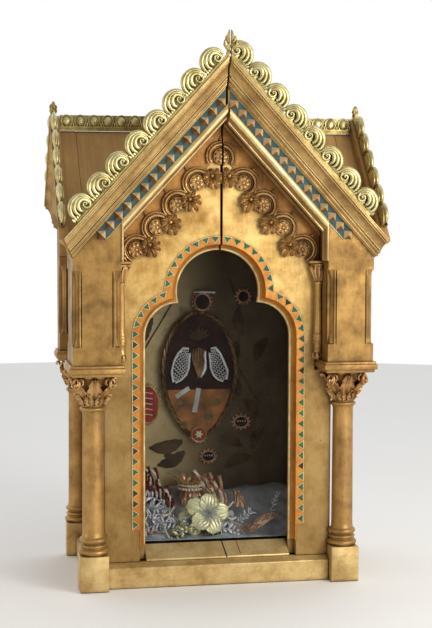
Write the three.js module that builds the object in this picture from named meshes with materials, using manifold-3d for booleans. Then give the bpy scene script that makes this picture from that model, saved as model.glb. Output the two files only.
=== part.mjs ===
// Neo-Gothic reliquary: a gilded wooden shrine with a glazed trefoil opening.
// Millimetres, +Z up, the front faces -Y. The origin is under the middle of the whole shrine.

import * as THREE from 'three';
import { mergeVertices } from 'three/addons/utils/BufferGeometryUtils.js';
import Module from 'manifold-3d';

const wasm = await Module();
wasm.setup();

// ---------------------------------------------------------------- driving dimensions

const GAP = 0.3; // clearance between pieces that touch

// Corner columns: their axes, and the blocks, imposts and piers that share them.
const AXIS_X = 197;
const AXIS_Y = 122;
const BLOCK = { half: 22, top: 55 };
const COLUMN = {
  bottom: 55, top: 286, radius: 16.5, foot: 17.5, torus: 23.3, upperTorus: 21.6, astragal: 20.2,
};
const CAPITAL = { bottom: 286, top: 333, neck: 17.5, face: 27, corner: 39, centreLeaf: 2.5 };
const IMPOST = { bottom: 333, top: 350, overhang: 6, fillet: 5, crown: 4 };
const PIER = { inner: 159, outer: 231, halfDepth: 48, top: 505 };

// The shrine is cut off flat behind, through the middle of the rear columns.
const BACK = AXIS_Y;
const CHAMFER = { bottom: 381, top: 492, width: 13, fillet: 1.5 };

// The case: the box of boards between the columns.
const CASE = { halfX: 179.5, front: 114.5, bottom: 38 };
const FRONT_BOARD = 20;
const BACK_BOARD = 14;
const SIDE_BOARD = 12;
const CEILING = { bottom: 528, top: 540 };
const FLOOR = { bottom: 42, top: 56 };
const RAIL = { top: 32, setBack: 16, lap: 8 };

// The trefoil opening: jambs, two quarter-round lower lobes, one round upper lobe.
const OPENING = { jamb: 114, lobeX: 62, lobeZ: 386.5, lobeR: 52, headZ: 456, headR: 64.3 };
const REVEAL = { step: 10, depth: 14.5 };
const JOINT = { x: 3, halfWidth: 1.6 }; // the open joint between the two front boards
const SILL = { back: 83, top: 59, nose: 3 };
const GLASS = { y: 83, thickness: 3, lap: 7 };

// Roof lines. A roof line is z = apex - slope * distance from the middle plane.
const PITCH_FRONT = { apex: 766, slope: 1.1057 };
const PITCH_SIDE = { apex: 685.2, slope: 1.067 };
const CROSS_RIDGE = -6; // y of the ridge of the cross roof
const GABLE_BAND = { apex: 737, slope: 1.088 };
const GABLE_INNER = { apex: 722, slope: 1.088 };
const SIDE_INNER = { apex: 628, slope: 1.067 };
const GABLE_LAYER = 10;
const CORNICE = {
  height: 30, front: 27, side: 21, bearing: 20, nose: 15, footX: 246, footY: 185, footDrop: 27.5,
};
const ROOF_BOARD = 14;

// Pale metal trim along the roof edges.
const CROCKET = {
  count: 8, pitch: 27.8, firstLeft: 17, firstRight: 7, height: 26, strip: 4, thickness: 8, setBack: 2,
};
const FINIAL = { top: 848, halfWidth: 9.5 };
const SIDE_CROCKET = { count: 6, pitch: 26, first: 20, height: 21, finialTop: 752 };
const CRESTING = { height: 25, pitch: 21, thickness: 7, from: 84, fillet: 7, round: 0.44 };

// Carved arcade inside the front gable, and the two pendant colonnettes under it.
const ARCADE = {
  front: 127, firstX: 36, pitchX: 31.3, apexZ: 663, slope: 1.09, lower: 4,
  count: 5, rosette: 14, leaf: 12, leafIn: 4, leafDrop: 10,
};
const COLONNETTE = { x: 154.3, y: 127, top: 505, bottom: 350.4, radius: 6.6 };

// What is kept behind the glass.
const RELIC_BOARD = { y: 62, thickness: 6, top: 520, halfWidth: 160 };
const MEDALLION = { top: 437, bottom: 222, halfWidth: 57, thickness: 9, steps: 36 };
const CROWN = { x: -22, y: 8, bottom: 104, height: 46, radius: 21, wall: 2 };
const FLOWERS = { halfX: 118, y: -16, halfY: 60, height: 45 };

const FRONT_EDGE = AXIS_Y + PIER.halfDepth + CORNICE.front;
const CENTRING = (FRONT_EDGE - BACK) / 2;
const GABLE_FACE = AXIS_Y + PIER.halfDepth;

const COLOURS = {
  gilt: 0xb8924a, dark: 0x8c6a30, silver: 0xd6cf98, cloth: 0xcdbf9c, purple: 0x40242e, glass: 0xdfe8e4,
};

// ---------------------------------------------------------------- helpers

const group = new THREE.Group();

function add(name, geometry, colour = COLOURS.gilt, options = {}) {
  const material = new THREE.MeshStandardMaterial({
    color: colour, roughness: 0.45, metalness: 0.7, ...options,
  });
  const mesh = new THREE.Mesh(geometry, material);
  mesh.name = name;
  mesh.position.y = CENTRING;
  group.add(mesh);
}

function solid(geometry) {
  const bare = geometry.index ? geometry.toNonIndexed() : geometry.clone();
  bare.deleteAttribute('normal');
  bare.deleteAttribute('uv');
  const merged = mergeVertices(bare, 1e-4);
  return new wasm.Manifold(new wasm.Mesh({
    numProp: 3,
    vertProperties: new Float32Array(merged.attributes.position.array),
    triVerts: new Uint32Array(merged.index.array),
  }));
}

function geometryOf(manifold) {
  const mesh = manifold.getMesh();
  const geometry = new THREE.BufferGeometry();
  geometry.setAttribute('position', new THREE.BufferAttribute(new Float32Array(mesh.vertProperties), 3));
  geometry.setIndex(Array.from(mesh.triVerts));
  geometry.computeVertexNormals();
  return geometry;
}

const join = (...geometries) => geometryOf(geometries.map(solid).reduce((a, b) => a.add(b)));
const cut = (geometry, ...tools) => geometryOf(
  tools.map(solid).reduce((a, b) => a.subtract(b), solid(geometry)));
const common = (a, b) => geometryOf(solid(a).intersect(solid(b)));

function extrude(points, depth) {
  const shape = new THREE.Shape(points.map(([x, y]) => new THREE.Vector2(x, y)));
  return new THREE.ExtrudeGeometry(shape, { depth, bevelEnabled: false, curveSegments: 1 });
}

// Outline in (x, z), from y0 to y1.
function prismXZ(points, y0, y1) {
  return extrude(points, y1 - y0).rotateX(Math.PI / 2).translate(0, y1, 0);
}

// Outline in (y, z), from x0 to x1.
function prismYZ(points, x0, x1) {
  const turn = new THREE.Matrix4().set(0, 0, 1, x0, 1, 0, 0, 0, 0, 1, 0, 0, 0, 0, 0, 1);
  return extrude(points, x1 - x0).applyMatrix4(turn);
}

// Outline in (x, y), from z0 to z1.
function prismXY(points, z0, z1) {
  return extrude(points, z1 - z0).translate(0, 0, z0);
}

function box(x0, x1, y0, y1, z0, z1) {
  return new THREE.BoxGeometry(x1 - x0, y1 - y0, z1 - z0)
    .translate((x0 + x1) / 2, (y0 + y1) / 2, (z0 + z1) / 2);
}

// The same piece on the other side of the middle plane of the named axis.
function mirrored(geometry, axis) {
  const copy = (geometry.index ? geometry.toNonIndexed() : geometry.clone());
  copy.scale(axis === 'x' ? -1 : 1, axis === 'y' ? -1 : 1, 1);
  const p = copy.attributes.position;
  const corner = new THREE.Vector3();
  const other = new THREE.Vector3();
  for (let i = 0; i < p.count; i += 3) {
    corner.fromBufferAttribute(p, i + 1);
    other.fromBufferAttribute(p, i + 2);
    p.setXYZ(i + 1, other.x, other.y, other.z);
    p.setXYZ(i + 2, corner.x, corner.y, corner.z);
  }
  copy.computeVertexNormals();
  return copy;
}

function arc(cx, cy, r, fromDegrees, toDegrees, steps) {
  const points = [];
  for (let i = 0; i <= steps; i += 1) {
    const a = THREE.MathUtils.degToRad(fromDegrees + ((toDegrees - fromDegrees) * i) / steps);
    points.push([cx + r * Math.cos(a), cy + r * Math.sin(a)]);
  }
  return points;
}

// A turned piece on a vertical axis; the profile is [radius, height] and starts and ends on the axis.
function turned(profile, x, y, segments) {
  const points = profile.map(([r, z]) => new THREE.Vector2(r, z));
  return new THREE.LatheGeometry(points, segments).rotateX(Math.PI / 2).translate(x, y, 0);
}

const zOn = (pitch, distance) => pitch.apex - pitch.slope * distance;

// The four corners, with the sign of each and a name.
const CORNERS = [
  { tag: 'front_left', sx: -1, sy: -1 },
  { tag: 'front_right', sx: 1, sy: -1 },
  { tag: 'rear_left', sx: -1, sy: 1 },
  { tag: 'rear_right', sx: 1, sy: 1 },
];

function toCorner(geometry, corner) {
  const side = corner.sx < 0 ? mirrored(geometry, 'x') : geometry;
  return corner.sy < 0 ? mirrored(side, 'y') : side;
}

// ---------------------------------------------------------------- plinth and columns
// These are made for the front corner at x > 0 and mirrored to the others.
// The case cuts into them, and the rear ones end at the flat back.

function finished(geometry, corner) {
  const edge = CASE.halfX + GAP;
  const notch = box(-edge, edge, -CASE.front - GAP, BACK + 1, 0, CAPITAL.top);
  const notched = solid(toCorner(geometry, corner)).subtract(solid(notch));
  return geometryOf(corner.sy > 0 ? notched.trimByPlane([0, -1, 0], -BACK) : notched);
}

function plinthBlock() {
  const h = BLOCK.half;
  return box(AXIS_X - h, AXIS_X + h, AXIS_Y - h, AXIS_Y + h, 0, BLOCK.top);
}

function column() {
  const { bottom, top, radius, foot, torus, upperTorus, astragal } = COLUMN;
  const z = bottom + GAP;
  const profile = [
    [0, z], [torus - 1.5, z],
    ...arc(torus - 4, z + 4.5, 4, -50, 60, 2),
    ...arc(torus - 4.5, z + 11.5, 3, -50, 70, 2),
    [upperTorus - 3.5, z + 17.5],
    ...arc(upperTorus - 4, z + 23, 4, -60, 60, 2),
    [foot, z + 29],
    [radius, top - 10],
    ...arc(astragal - 3, top - 4.5, 3, -60, 60, 2),
    [radius, top - 0.5], [0, top - 0.5],
  ];
  return turned(profile, AXIS_X, AXIS_Y, 20);
}

// A bell that grows from a round neck to a square with curled corner leaves.
function capital() {
  const rings = 5;
  const around = 24;
  const { neck, face, corner, centreLeaf } = CAPITAL;
  const z0 = CAPITAL.bottom;
  const z1 = CAPITAL.top - GAP;
  const positions = [];
  const radiusAt = (t, angle) => {
    const towardsCorner = Math.abs(Math.sin(2 * angle)) ** 2.2;
    const bell = neck + (face - neck) * t ** 1.6;
    const leaf = (corner - face) * towardsCorner * Math.sin(Math.PI * Math.min(1, t * 0.72)) ** 1.5;
    const middleLeaf = centreLeaf * Math.abs(Math.cos(2 * angle)) ** 3 * Math.sin(Math.PI * t);
    return bell + leaf + middleLeaf;
  };
  const index = [];
  for (let j = 0; j <= rings; j += 1) {
    for (let i = 0; i < around; i += 1) {
      const a = (2 * Math.PI * i) / around;
      const r = radiusAt(j / rings, a);
      positions.push(AXIS_X + r * Math.cos(a), AXIS_Y + r * Math.sin(a), z0 + ((z1 - z0) * j) / rings);
      const next = (i + 1) % around;
      if (j < rings) {
        const here = j * around;
        index.push(here + i, here + next, here + around + next);
        index.push(here + i, here + around + next, here + around + i);
      }
    }
  }
  const centres = positions.length / 3;
  positions.push(AXIS_X, AXIS_Y, z0, AXIS_X, AXIS_Y, z1);
  for (let i = 0; i < around; i += 1) {
    const next = (i + 1) % around;
    index.push(centres, next, i, centres + 1, rings * around + i, rings * around + next);
  }
  const geometry = new THREE.BufferGeometry();
  geometry.setAttribute('position', new THREE.Float32BufferAttribute(positions, 3));
  geometry.setIndex(index);
  return geometry;
}

function impost() {
  const { bottom, top, overhang, fillet, crown } = IMPOST;
  const slab = (grow, z0, z1) => box(
    PIER.inner - grow, PIER.outer + grow,
    AXIS_Y - PIER.halfDepth - grow, AXIS_Y + PIER.halfDepth + grow, z0, z1);
  const lap = 0.5;
  return join(
    slab(overhang, bottom + fillet, top - crown),
    slab(overhang * 0.4, bottom, bottom + fillet + lap),
    slab(overhang * 0.7, top - crown - lap, top),
  );
}

function chamferTool(x, y, sx, sy) {
  const w = CHAMFER.width;
  const f = CHAMFER.fillet;
  const past = 2; // how far the tool stands outside the pier
  const step = 3; // the fillet's own width
  const plan = [[-past, -past], [w, -past], [w, f], [w - step, f], [f, w - step], [f, w], [-past, w]];
  const placed = plan.map(([u, v]) => [x + sx * u, y + sy * v]);
  return prismXY(sx * sy > 0 ? placed : placed.reverse(), CHAMFER.bottom, CHAMFER.top);
}

function pier() {
  const y0 = AXIS_Y - PIER.halfDepth;
  const y1 = AXIS_Y + PIER.halfDepth;
  return cut(
    box(PIER.inner, PIER.outer, y0, y1, IMPOST.top + GAP, PIER.top),
    chamferTool(PIER.outer, y1, -1, -1),
    chamferTool(PIER.inner, y1, 1, -1),
    chamferTool(PIER.outer, y0, -1, 1),
  );
}

function buildCorners() {
  for (const corner of CORNERS) {
    add(`plinth_block_${corner.tag}`, finished(plinthBlock(), corner));
    add(`column_${corner.tag}`, finished(column(), corner));
    add(`capital_${corner.tag}`, finished(capital(), corner));
    add(`impost_${corner.tag}`, finished(impost(), corner));
    add(`pier_${corner.tag}`, finished(pier(), corner));
  }
}

function buildPlinthRails() {
  const z = CASE.bottom - GAP;
  // From the foot of the face, up to the case and back inside it.
  const outline = (face, wall) => [
    [wall - RAIL.lap, 0], [face, 0], [face, RAIL.top], [wall, z], [wall - RAIL.lap, z],
  ];
  const frontFace = AXIS_Y + BLOCK.half - RAIL.setBack;
  const sideFace = AXIS_X + BLOCK.half - RAIL.setBack;
  const reachX = AXIS_X - BLOCK.half - GAP;
  const reachY = AXIS_Y - BLOCK.half - GAP;
  add('plinth_rail_front', mirrored(prismYZ(outline(frontFace, CASE.front), -reachX, reachX), 'y'));
  add('plinth_rail_back', box(-reachX, reachX, BACK - BACK_BOARD, BACK, 0, z));
  const right = prismXZ(outline(sideFace, CASE.halfX), -reachY, reachY);
  add('plinth_rail_right', right);
  add('plinth_rail_left', mirrored(right, 'x'));
}

// ---------------------------------------------------------------- case

// Half of the trefoil, from the foot of the right jamb up to the crown, grown outwards by `grow`.
function trefoilHalf(grow, foot) {
  const { jamb, lobeX, lobeZ, lobeR, headZ, headR } = OPENING;
  const r1 = lobeR + grow;
  const r2 = headR + grow;
  const dx = lobeX;
  const dz = lobeZ - headZ;
  const d = Math.hypot(dx, dz);
  const along = (r2 * r2 - r1 * r1 + d * d) / (2 * d);
  const across = Math.sqrt(r2 * r2 - along * along);
  const cuspX = (dx * along - dz * across) / d;
  const cuspZ = headZ + (dz * along + dx * across) / d;
  const degrees = (z, x) => THREE.MathUtils.radToDeg(Math.atan2(z, x));
  return [
    [jamb + grow, foot],
    ...arc(lobeX, lobeZ, r1, 0, degrees(cuspZ - lobeZ, cuspX - lobeX), 8),
    ...arc(0, headZ, r2, degrees(cuspZ - headZ, cuspX), 90, 12).slice(1),
  ];
}

// The right half of the front: a board with half of the opening, up to the roof.
function frontBoard() {
  const z0 = CASE.bottom;
  const out = CASE.halfX;
  const narrow = PIER.inner - IMPOST.overhang - GAP;
  const edge = [
    [out, z0], [out, IMPOST.bottom - GAP], [narrow, IMPOST.bottom - GAP],
    [narrow, IMPOST.top + GAP], [PIER.inner - GAP, IMPOST.top + GAP],
    [PIER.inner - GAP, zOn(PITCH_FRONT, PIER.inner - GAP) - GAP], [0, PITCH_FRONT.apex - GAP],
  ];
  const layer = (grow, y0, y1) => prismXZ(
    [...edge, ...trefoilHalf(grow, z0).reverse()], y0, y1);
  const front = -CASE.front;
  return join(
    layer(REVEAL.step, front, front + REVEAL.depth),
    layer(0, front + REVEAL.depth - 0.01, front + FRONT_BOARD),
  );
}

function buildFrontBoards() {
  const right = frontBoard();
  const left = mirrored(right, 'x');
  const both = join(right, left);
  const far = 300;
  const z = [0, 900];
  add('front_board_right', common(both, box(JOINT.x + JOINT.halfWidth, far, -far, far, ...z)));
  add('front_board_left', common(both, box(-far, JOINT.x - JOINT.halfWidth, -far, far, ...z)));
}

function buildSillAndGlass() {
  const front = -CASE.front;
  const back = -SILL.back - GLASS.thickness / 2 - GAP;
  const half = OPENING.jamb - GAP;
  const foot = CASE.bottom;
  const outline = [[front, foot], [back, foot], [back, SILL.top], [front, foot + SILL.nose]];
  add('sill', prismYZ(outline, -half, half));
  const reach = OPENING.jamb + GLASS.lap;
  const crown = OPENING.headZ + OPENING.headR + GLASS.lap;
  const y = -GLASS.y;
  const halfPane = GLASS.thickness / 2;
  const pane = box(-reach, reach, y - halfPane, y + halfPane, foot + GAP, crown);
  add('glass_pane', pane, COLOURS.glass, { roughness: 0.05, metalness: 0, transparent: true, opacity: 0.25 });
}

function buildSidesAndBack() {
  const yFront = -CASE.front + FRONT_BOARD + GAP;
  const yBack = BACK - BACK_BOARD - GAP;
  const pierY = AXIS_Y - PIER.halfDepth - GAP;
  const impostY = pierY - IMPOST.overhang;
  const lap = 12; // how far a side board runs up behind its gable
  const clear = 1; // and how far it keeps under the roof
  const sideTop = SIDE_INNER.apex + lap;
  const shoulder = zOn(PITCH_SIDE, pierY - CROSS_RIDGE) - clear;
  const topReach = (PITCH_SIDE.apex - sideTop) / PITCH_SIDE.slope + CROSS_RIDGE - clear;
  const outline = [
    [yFront, CASE.bottom], [yBack, CASE.bottom], [yBack, IMPOST.bottom - GAP],
    [impostY, IMPOST.bottom - GAP], [impostY, IMPOST.top + GAP], [pierY, IMPOST.top + GAP],
    [pierY, shoulder], [topReach, sideTop], [-topReach, sideTop], [-pierY, shoulder],
    [-pierY, IMPOST.top + GAP],
    [-impostY, IMPOST.top + GAP], [-impostY, IMPOST.bottom - GAP], [yFront, IMPOST.bottom - GAP],
  ];
  const side = prismYZ(outline, CASE.halfX - SIDE_BOARD, CASE.halfX);
  add('side_board_right', side);
  add('side_board_left', mirrored(side, 'x'));

  const narrow = PIER.inner - IMPOST.overhang - GAP;
  const eave = zOn(PITCH_SIDE, BACK - CROSS_RIDGE) - GAP;
  const half = [
    [CASE.halfX, CASE.bottom], [CASE.halfX, IMPOST.bottom - GAP], [narrow, IMPOST.bottom - GAP],
    [narrow, IMPOST.top + GAP], [PIER.inner - GAP, IMPOST.top + GAP], [PIER.inner - GAP, PIER.top + GAP],
    [PIER.outer, PIER.top + GAP], [PIER.outer, eave], [(PITCH_FRONT.apex - eave) / PITCH_FRONT.slope, eave],
  ];
  const back = [...half, [0, PITCH_FRONT.apex - GAP], ...half.map(([x, z]) => [-x, z]).reverse()];
  add('back_board', prismXZ(back, BACK - BACK_BOARD, BACK));

  const cx = PIER.inner - 2 * GAP;
  add('ceiling_board', box(-cx, cx, yFront, yBack, CEILING.bottom, CEILING.top), COLOURS.dark);
  const floorX = CASE.halfX - SIDE_BOARD - GAP;
  const floorFront = -GLASS.y + GLASS.thickness;
  add('floor_board', box(-floorX, floorX, floorFront, yBack, FLOOR.bottom, FLOOR.top), COLOURS.dark);
}

// ---------------------------------------------------------------- gables, cornices and roof

// Right half of the front gable: two layers, so that the inner edge is stepped back.
function frontGable() {
  const z0 = PIER.top + GAP;
  const half = (inner) => [
    [JOINT.halfWidth, zOn(inner, JOINT.halfWidth)],
    [JOINT.halfWidth, zOn(PITCH_FRONT, JOINT.halfWidth) - GAP],
    [PIER.outer, zOn(PITCH_FRONT, PIER.outer) - GAP], [PIER.outer, z0], [PIER.inner, z0],
    [PIER.inner, zOn(inner, PIER.inner)],
  ].reverse();
  return join(
    prismXZ(half(GABLE_BAND), -GABLE_FACE, -GABLE_FACE + GABLE_LAYER),
    prismXZ(half(GABLE_INNER), -GABLE_FACE + GABLE_LAYER - 0.01, -CASE.front - GAP),
  );
}

// A side gable closes the cross roof between the front gable and the back board.
function sideGable() {
  const y0 = -CASE.front;
  const y1 = BACK - BACK_BOARD - GAP;
  const z0 = PIER.top + GAP;
  const open = AXIS_Y - PIER.halfDepth;
  const outline = [
    [y0, z0], [-open, z0], [-open, zOn(SIDE_INNER, open + CROSS_RIDGE)], [CROSS_RIDGE, SIDE_INNER.apex],
    [open, zOn(SIDE_INNER, open - CROSS_RIDGE)], [open, z0], [y1, z0],
    [y1, zOn(PITCH_SIDE, y1 - CROSS_RIDGE) - GAP],
    [CROSS_RIDGE, PITCH_SIDE.apex - GAP], [y0, zOn(PITCH_SIDE, CROSS_RIDGE - y0) - GAP],
  ];
  return prismYZ(outline, CASE.halfX + GAP, PIER.outer);
}

function buildGables() {
  const right = frontGable();
  add('front_gable_right', right);
  add('front_gable_left', mirrored(right, 'x'));
  const side = sideGable();
  add('side_gable_right', side);
  add('side_gable_left', mirrored(side, 'x'));
}

// Cornice section: [projection from the wall, height square to the slope]. Behind its nose it may
// be let down to the height `back`.
function corniceSection(projection, back) {
  const s = projection / CORNICE.front;
  const h = CORNICE.height;
  const front = [
    [27, h], [27, h - 4], [24.5, h - 4], [24.5, h - 6.5],
    ...arc(26, 10, 13.8, 97, 172, 5),
    [10.5, 11], ...arc(9, 8.6, 2.4, 70, -70, 4),
    [7, 5.5], ...arc(6.2, 3.6, 1.8, 60, -60, 3),
    [3, 1.2], [1, 0],
  ].map(([p, q]) => [p * s, q]);
  const nose = projection - CORNICE.nose;
  const step = back < h ? [[nose, back], [nose, h]] : [];
  return [[-CORNICE.bearing, 0], [-CORNICE.bearing, back], ...step, ...front].reverse();
}

// A bar with the given section under a slope that falls along `down`; its section projects along `out`.
function rakingBar(section, pitch, down, out) {
  const before = 60;
  const length = 420;
  const up = down.clone().multiplyScalar(pitch.slope).add(new THREE.Vector3(0, 0, 1)).normalize();
  const run = down.clone().add(new THREE.Vector3(0, 0, -pitch.slope)).normalize();
  const along = out.clone().cross(up);
  const place = new THREE.Matrix4().makeBasis(out, up, along);
  const start = along.dot(run) > 0 ? -before : length;
  place.setPosition(new THREE.Vector3(0, 0, pitch.apex).addScaledVector(run, start));
  return extrude(section, length + before).applyMatrix4(place);
}

const topApex = (pitch) => pitch.apex + CORNICE.height * Math.hypot(1, pitch.slope);

// The two cornices of a front corner meet where their slopes are level with each other.
function hip(sign) {
  const a = PITCH_FRONT.slope;
  const b = PITCH_SIDE.slope;
  const length = Math.hypot(a, b);
  const level = PITCH_SIDE.apex - b * CROSS_RIDGE;
  const offset = (sign * (PITCH_FRONT.apex - level)) / length + GAP / 2;
  return [[(sign * a) / length, (sign * b) / length, 0], offset];
}

// The plane that ends a cornice at its foot; `reach` is how far out the foot's tip stands.
function footPlane(pitch, ridge, reach, wall, axis) {
  const lean = new THREE.Vector2(-CORNICE.footDrop, reach - wall).normalize();
  const tipZ = topApex(pitch) - pitch.slope * (reach + ridge);
  const normal = axis === 'x' ? [lean.x, 0, lean.y] : [0, -lean.x, lean.y];
  return [normal, lean.x * reach + lean.y * tipZ];
}

function frontCornice() {
  const section = corniceSection(CORNICE.front, CORNICE.height);
  const bar = rakingBar(section, PITCH_FRONT, new THREE.Vector3(1, 0, 0), new THREE.Vector3(0, -1, 0));
  return geometryOf(solid(bar.translate(0, -GABLE_FACE, 0))
    .trimByPlane([1, 0, 0], JOINT.halfWidth)
    .trimByPlane(...footPlane(PITCH_FRONT, 0, CORNICE.footX, PIER.outer, 'x'))
    .trimByPlane(...hip(-1)));
}

function sideCornice(rear) {
  const section = corniceSection(CORNICE.side, ROOF_BOARD);
  const down = new THREE.Vector3(0, rear ? 1 : -1, 0);
  const bar = rakingBar(section, PITCH_SIDE, down, new THREE.Vector3(1, 0, 0));
  const half = solid(bar.translate(PIER.outer, CROSS_RIDGE, 0))
    .trimByPlane([0, down.y, 0], down.y * CROSS_RIDGE + GAP / 2);
  if (rear) {
    return geometryOf(half.trimByPlane([0, -1, 0], -BACK));
  }
  return geometryOf(half
    .trimByPlane(...footPlane(PITCH_SIDE, CROSS_RIDGE, CORNICE.footY, GABLE_FACE, 'y'))
    .trimByPlane(...hip(1)));
}

function buildCornices() {
  const front = frontCornice();
  add('front_cornice_right', front);
  add('front_cornice_left', mirrored(front, 'x'));
  for (const rear of [false, true]) {
    const side = sideCornice(rear);
    const end = rear ? 'rear' : 'front';
    add(`side_cornice_${end}_right`, side);
    add(`side_cornice_${end}_left`, mirrored(side, 'x'));
  }
}

// The two crossing roofs as one shell, in a left and a right half.
function roofHalf() {
  const front = -GABLE_FACE + CORNICE.bearing + GAP;
  const side = PIER.outer - CORNICE.bearing - GAP;
  const wedge = (pitch, lift, reach) => {
    const apex = pitch.apex + lift * Math.hypot(1, pitch.slope);
    const foot = apex - pitch.slope * reach;
    return [[-reach, foot], [reach, foot], [0, apex]];
  };
  const along = (lift, over) => join(
    prismXZ(wedge(PITCH_FRONT, lift, side + over), front - over, BACK + over),
    prismYZ(wedge(PITCH_SIDE, lift, over - front), -side - over, side + over).translate(0, CROSS_RIDGE, 0),
  );
  const bounds = box(GAP / 2, side, front, BACK, 0, 900);
  return common(cut(along(ROOF_BOARD, 20), along(0, 40)), bounds);
}

function buildRoof() {
  const right = roofHalf();
  add('roof_right', right, COLOURS.gilt, { roughness: 0.6 });
  add('roof_left', mirrored(right, 'x'), COLOURS.gilt, { roughness: 0.6 });
}

// ---------------------------------------------------------------- crockets and cresting

// Outline of one crocket above its strip: [along the slope, height].
function crocketOutline(centre, pitch, height) {
  const shape = [[0.47, -0.04], [0.45, 0.2], [0.4, 0.4], [0.26, 0.72], [0.06, 0.96], [-0.16, 1], [-0.33, 0.8],
    [-0.38, 0.5], [-0.44, 0.25], [-0.47, -0.04]];
  return shape.map(([s, h]) => [centre + s * pitch, CROCKET.strip + h * height]);
}

// A strip that lies on a cornice, and the crockets on it, as outlines [distance, z].
function crocketOutlines(pitch, row) {
  const n = Math.hypot(1, pitch.slope);
  const apex = topApex(pitch);
  const crockets = [];
  for (let i = 0; i < row.count; i += 1) {
    crockets.push(crocketOutline((row.first + i * row.pitch) * n, row.pitch * n, row.height));
  }
  const end = crockets.at(-1)[0][0];
  const strip = [[-CROCKET.strip, GAP], [end, GAP], [end, CROCKET.strip], [-CROCKET.strip, CROCKET.strip]];
  return [strip, ...crockets].map((outline) => outline.map(
    ([s, q]) => [(s + q * pitch.slope) / n, apex + (q - s * pitch.slope) / n]));
}

// Half of a leaf finial above the point of a gable, from `inner` outwards.
function finialHalf(pitch, top, inner) {
  const base = topApex(pitch) - 1;
  const rise = top - base;
  const widths = [[0.5, 0], [0.5, 0.25], [1.1, 0.4], [1.05, 0.6], [0.65, 0.68], [0.6, 0.85], [0.3, 1]];
  const edge = widths.map(([w, t]) => [w * FINIAL.halfWidth, base + t * rise]);
  return [[inner, base], ...edge, [inner, top]];
}

function buildCrockets() {
  const y1 = -GABLE_FACE - CORNICE.front + CROCKET.setBack + CROCKET.thickness;
  const y0 = y1 - CROCKET.thickness;
  for (const side of [1, -1]) {
    const first = side > 0 ? CROCKET.firstRight : CROCKET.firstLeft;
    const finial = finialHalf(PITCH_FRONT, FINIAL.top, 0);
    const outlines = [...crocketOutlines(PITCH_FRONT, { ...CROCKET, first }), finial];
    const row = join(...outlines.map((outline) => prismXZ(outline, y0, y1)));
    const right = geometryOf(solid(row).trimByPlane([1, 0, 0], JOINT.halfWidth));
    const name = side > 0 ? 'right' : 'left';
    add(`crockets_front_${name}`, side > 0 ? right : mirrored(right, 'x'), COLOURS.silver);
  }
  const x1 = PIER.outer + CORNICE.side - CROCKET.setBack;
  const x0 = x1 - CROCKET.thickness;
  const top = SIDE_CROCKET.finialTop;
  const finial = finialHalf(PITCH_SIDE, top, JOINT.halfWidth);
  const outlines = [...crocketOutlines(PITCH_SIDE, SIDE_CROCKET), finial];
  const row = join(...outlines.map((outline) => prismYZ(outline, x0, x1)));
  const half = geometryOf(solid(row).trimByPlane([0, 1, 0], 0));
  const inner = JOINT.halfWidth + GAP;
  const closing = box(x0, x1, -inner, inner, topApex(PITCH_SIDE) + CROCKET.strip, top - GAP);
  const whole = join(half, mirrored(half, 'y'), closing).translate(0, CROSS_RIDGE, 0);
  const right = geometryOf(solid(whole).trimByPlane([0, -1, 0], -BACK));
  add('crockets_side_right', right, COLOURS.silver);
  add('crockets_side_left', mirrored(right, 'x'), COLOURS.silver);
}

// A row of round-topped tongues along the ridge of the cross roof.
function buildCresting() {
  const base = PITCH_SIDE.apex + ROOF_BOARD * Math.hypot(1, PITCH_SIDE.slope) + GAP;
  const end = PIER.outer + CORNICE.side - CORNICE.nose - 2 * GAP;
  const count = Math.round((end - CRESTING.from) / CRESTING.pitch);
  const pitch = (end - CRESTING.from) / count;
  const r = pitch * CRESTING.round;
  const low = base + CRESTING.fillet;
  const spring = base + CRESTING.height - r;
  const edge = [];
  for (let i = 0; i < count; i += 1) {
    edge.push(...arc(end - (i + 0.5) * pitch, spring, r, -35, 215, 5), [end - (i + 1) * pitch, low]);
  }
  const { from } = CRESTING;
  const outline = [[from, base], [end, base], [end, low], ...edge.slice(0, -1), [from, low]];
  const halfThick = CRESTING.thickness / 2;
  const right = prismXZ(outline, CROSS_RIDGE - halfThick, CROSS_RIDGE + halfThick);
  add('cresting_right', right, COLOURS.silver);
  add('cresting_left', mirrored(right, 'x'), COLOURS.silver);
}

// ---------------------------------------------------------------- carving on the front

const round = (x, z, r, y0, y1) => prismXZ(arc(x, z, r, 0, 330, 11), y0, y1);

// Half of the arcade: a board under the gable's edge with a row of rosettes and hanging leaves.
function arcadeHalf() {
  const y1 = -CASE.front - GAP;
  const y0 = -ARCADE.front;
  const out = PIER.inner - GAP;
  const line = { apex: GABLE_INNER.apex - 2 * GAP, slope: GABLE_INNER.slope };
  const middle = { apex: ARCADE.apexZ, slope: ARCADE.slope };
  const board = [
    [JOINT.halfWidth, zOn(middle, 0) + ARCADE.lower], [out, zOn(middle, out) + ARCADE.lower],
    [out, zOn(line, out)], [JOINT.halfWidth, zOn(line, JOINT.halfWidth)],
  ];
  const pieces = [prismXZ(board, y0, y1)];
  for (let i = 0; i < ARCADE.count; i += 1) {
    const x = i === 0 ? 0 : ARCADE.firstX + (i - 1) * ARCADE.pitchX;
    pieces.push(round(x, zOn(middle, x), ARCADE.rosette, y0, y1));
    if (i < ARCADE.count - 1) {
      const cusp = i === 0 ? ARCADE.firstX * 0.5 : x + ARCADE.pitchX * 0.5;
      pieces.push(round(cusp - ARCADE.leafIn, zOn(middle, cusp) - ARCADE.leafDrop, ARCADE.leaf, y0, y1));
    }
  }
  const keep = box(JOINT.halfWidth, out, y0 - 1, y1 + 1, COLONNETTE.top + GAP, 900);
  return common(join(...pieces), keep);
}

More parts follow.
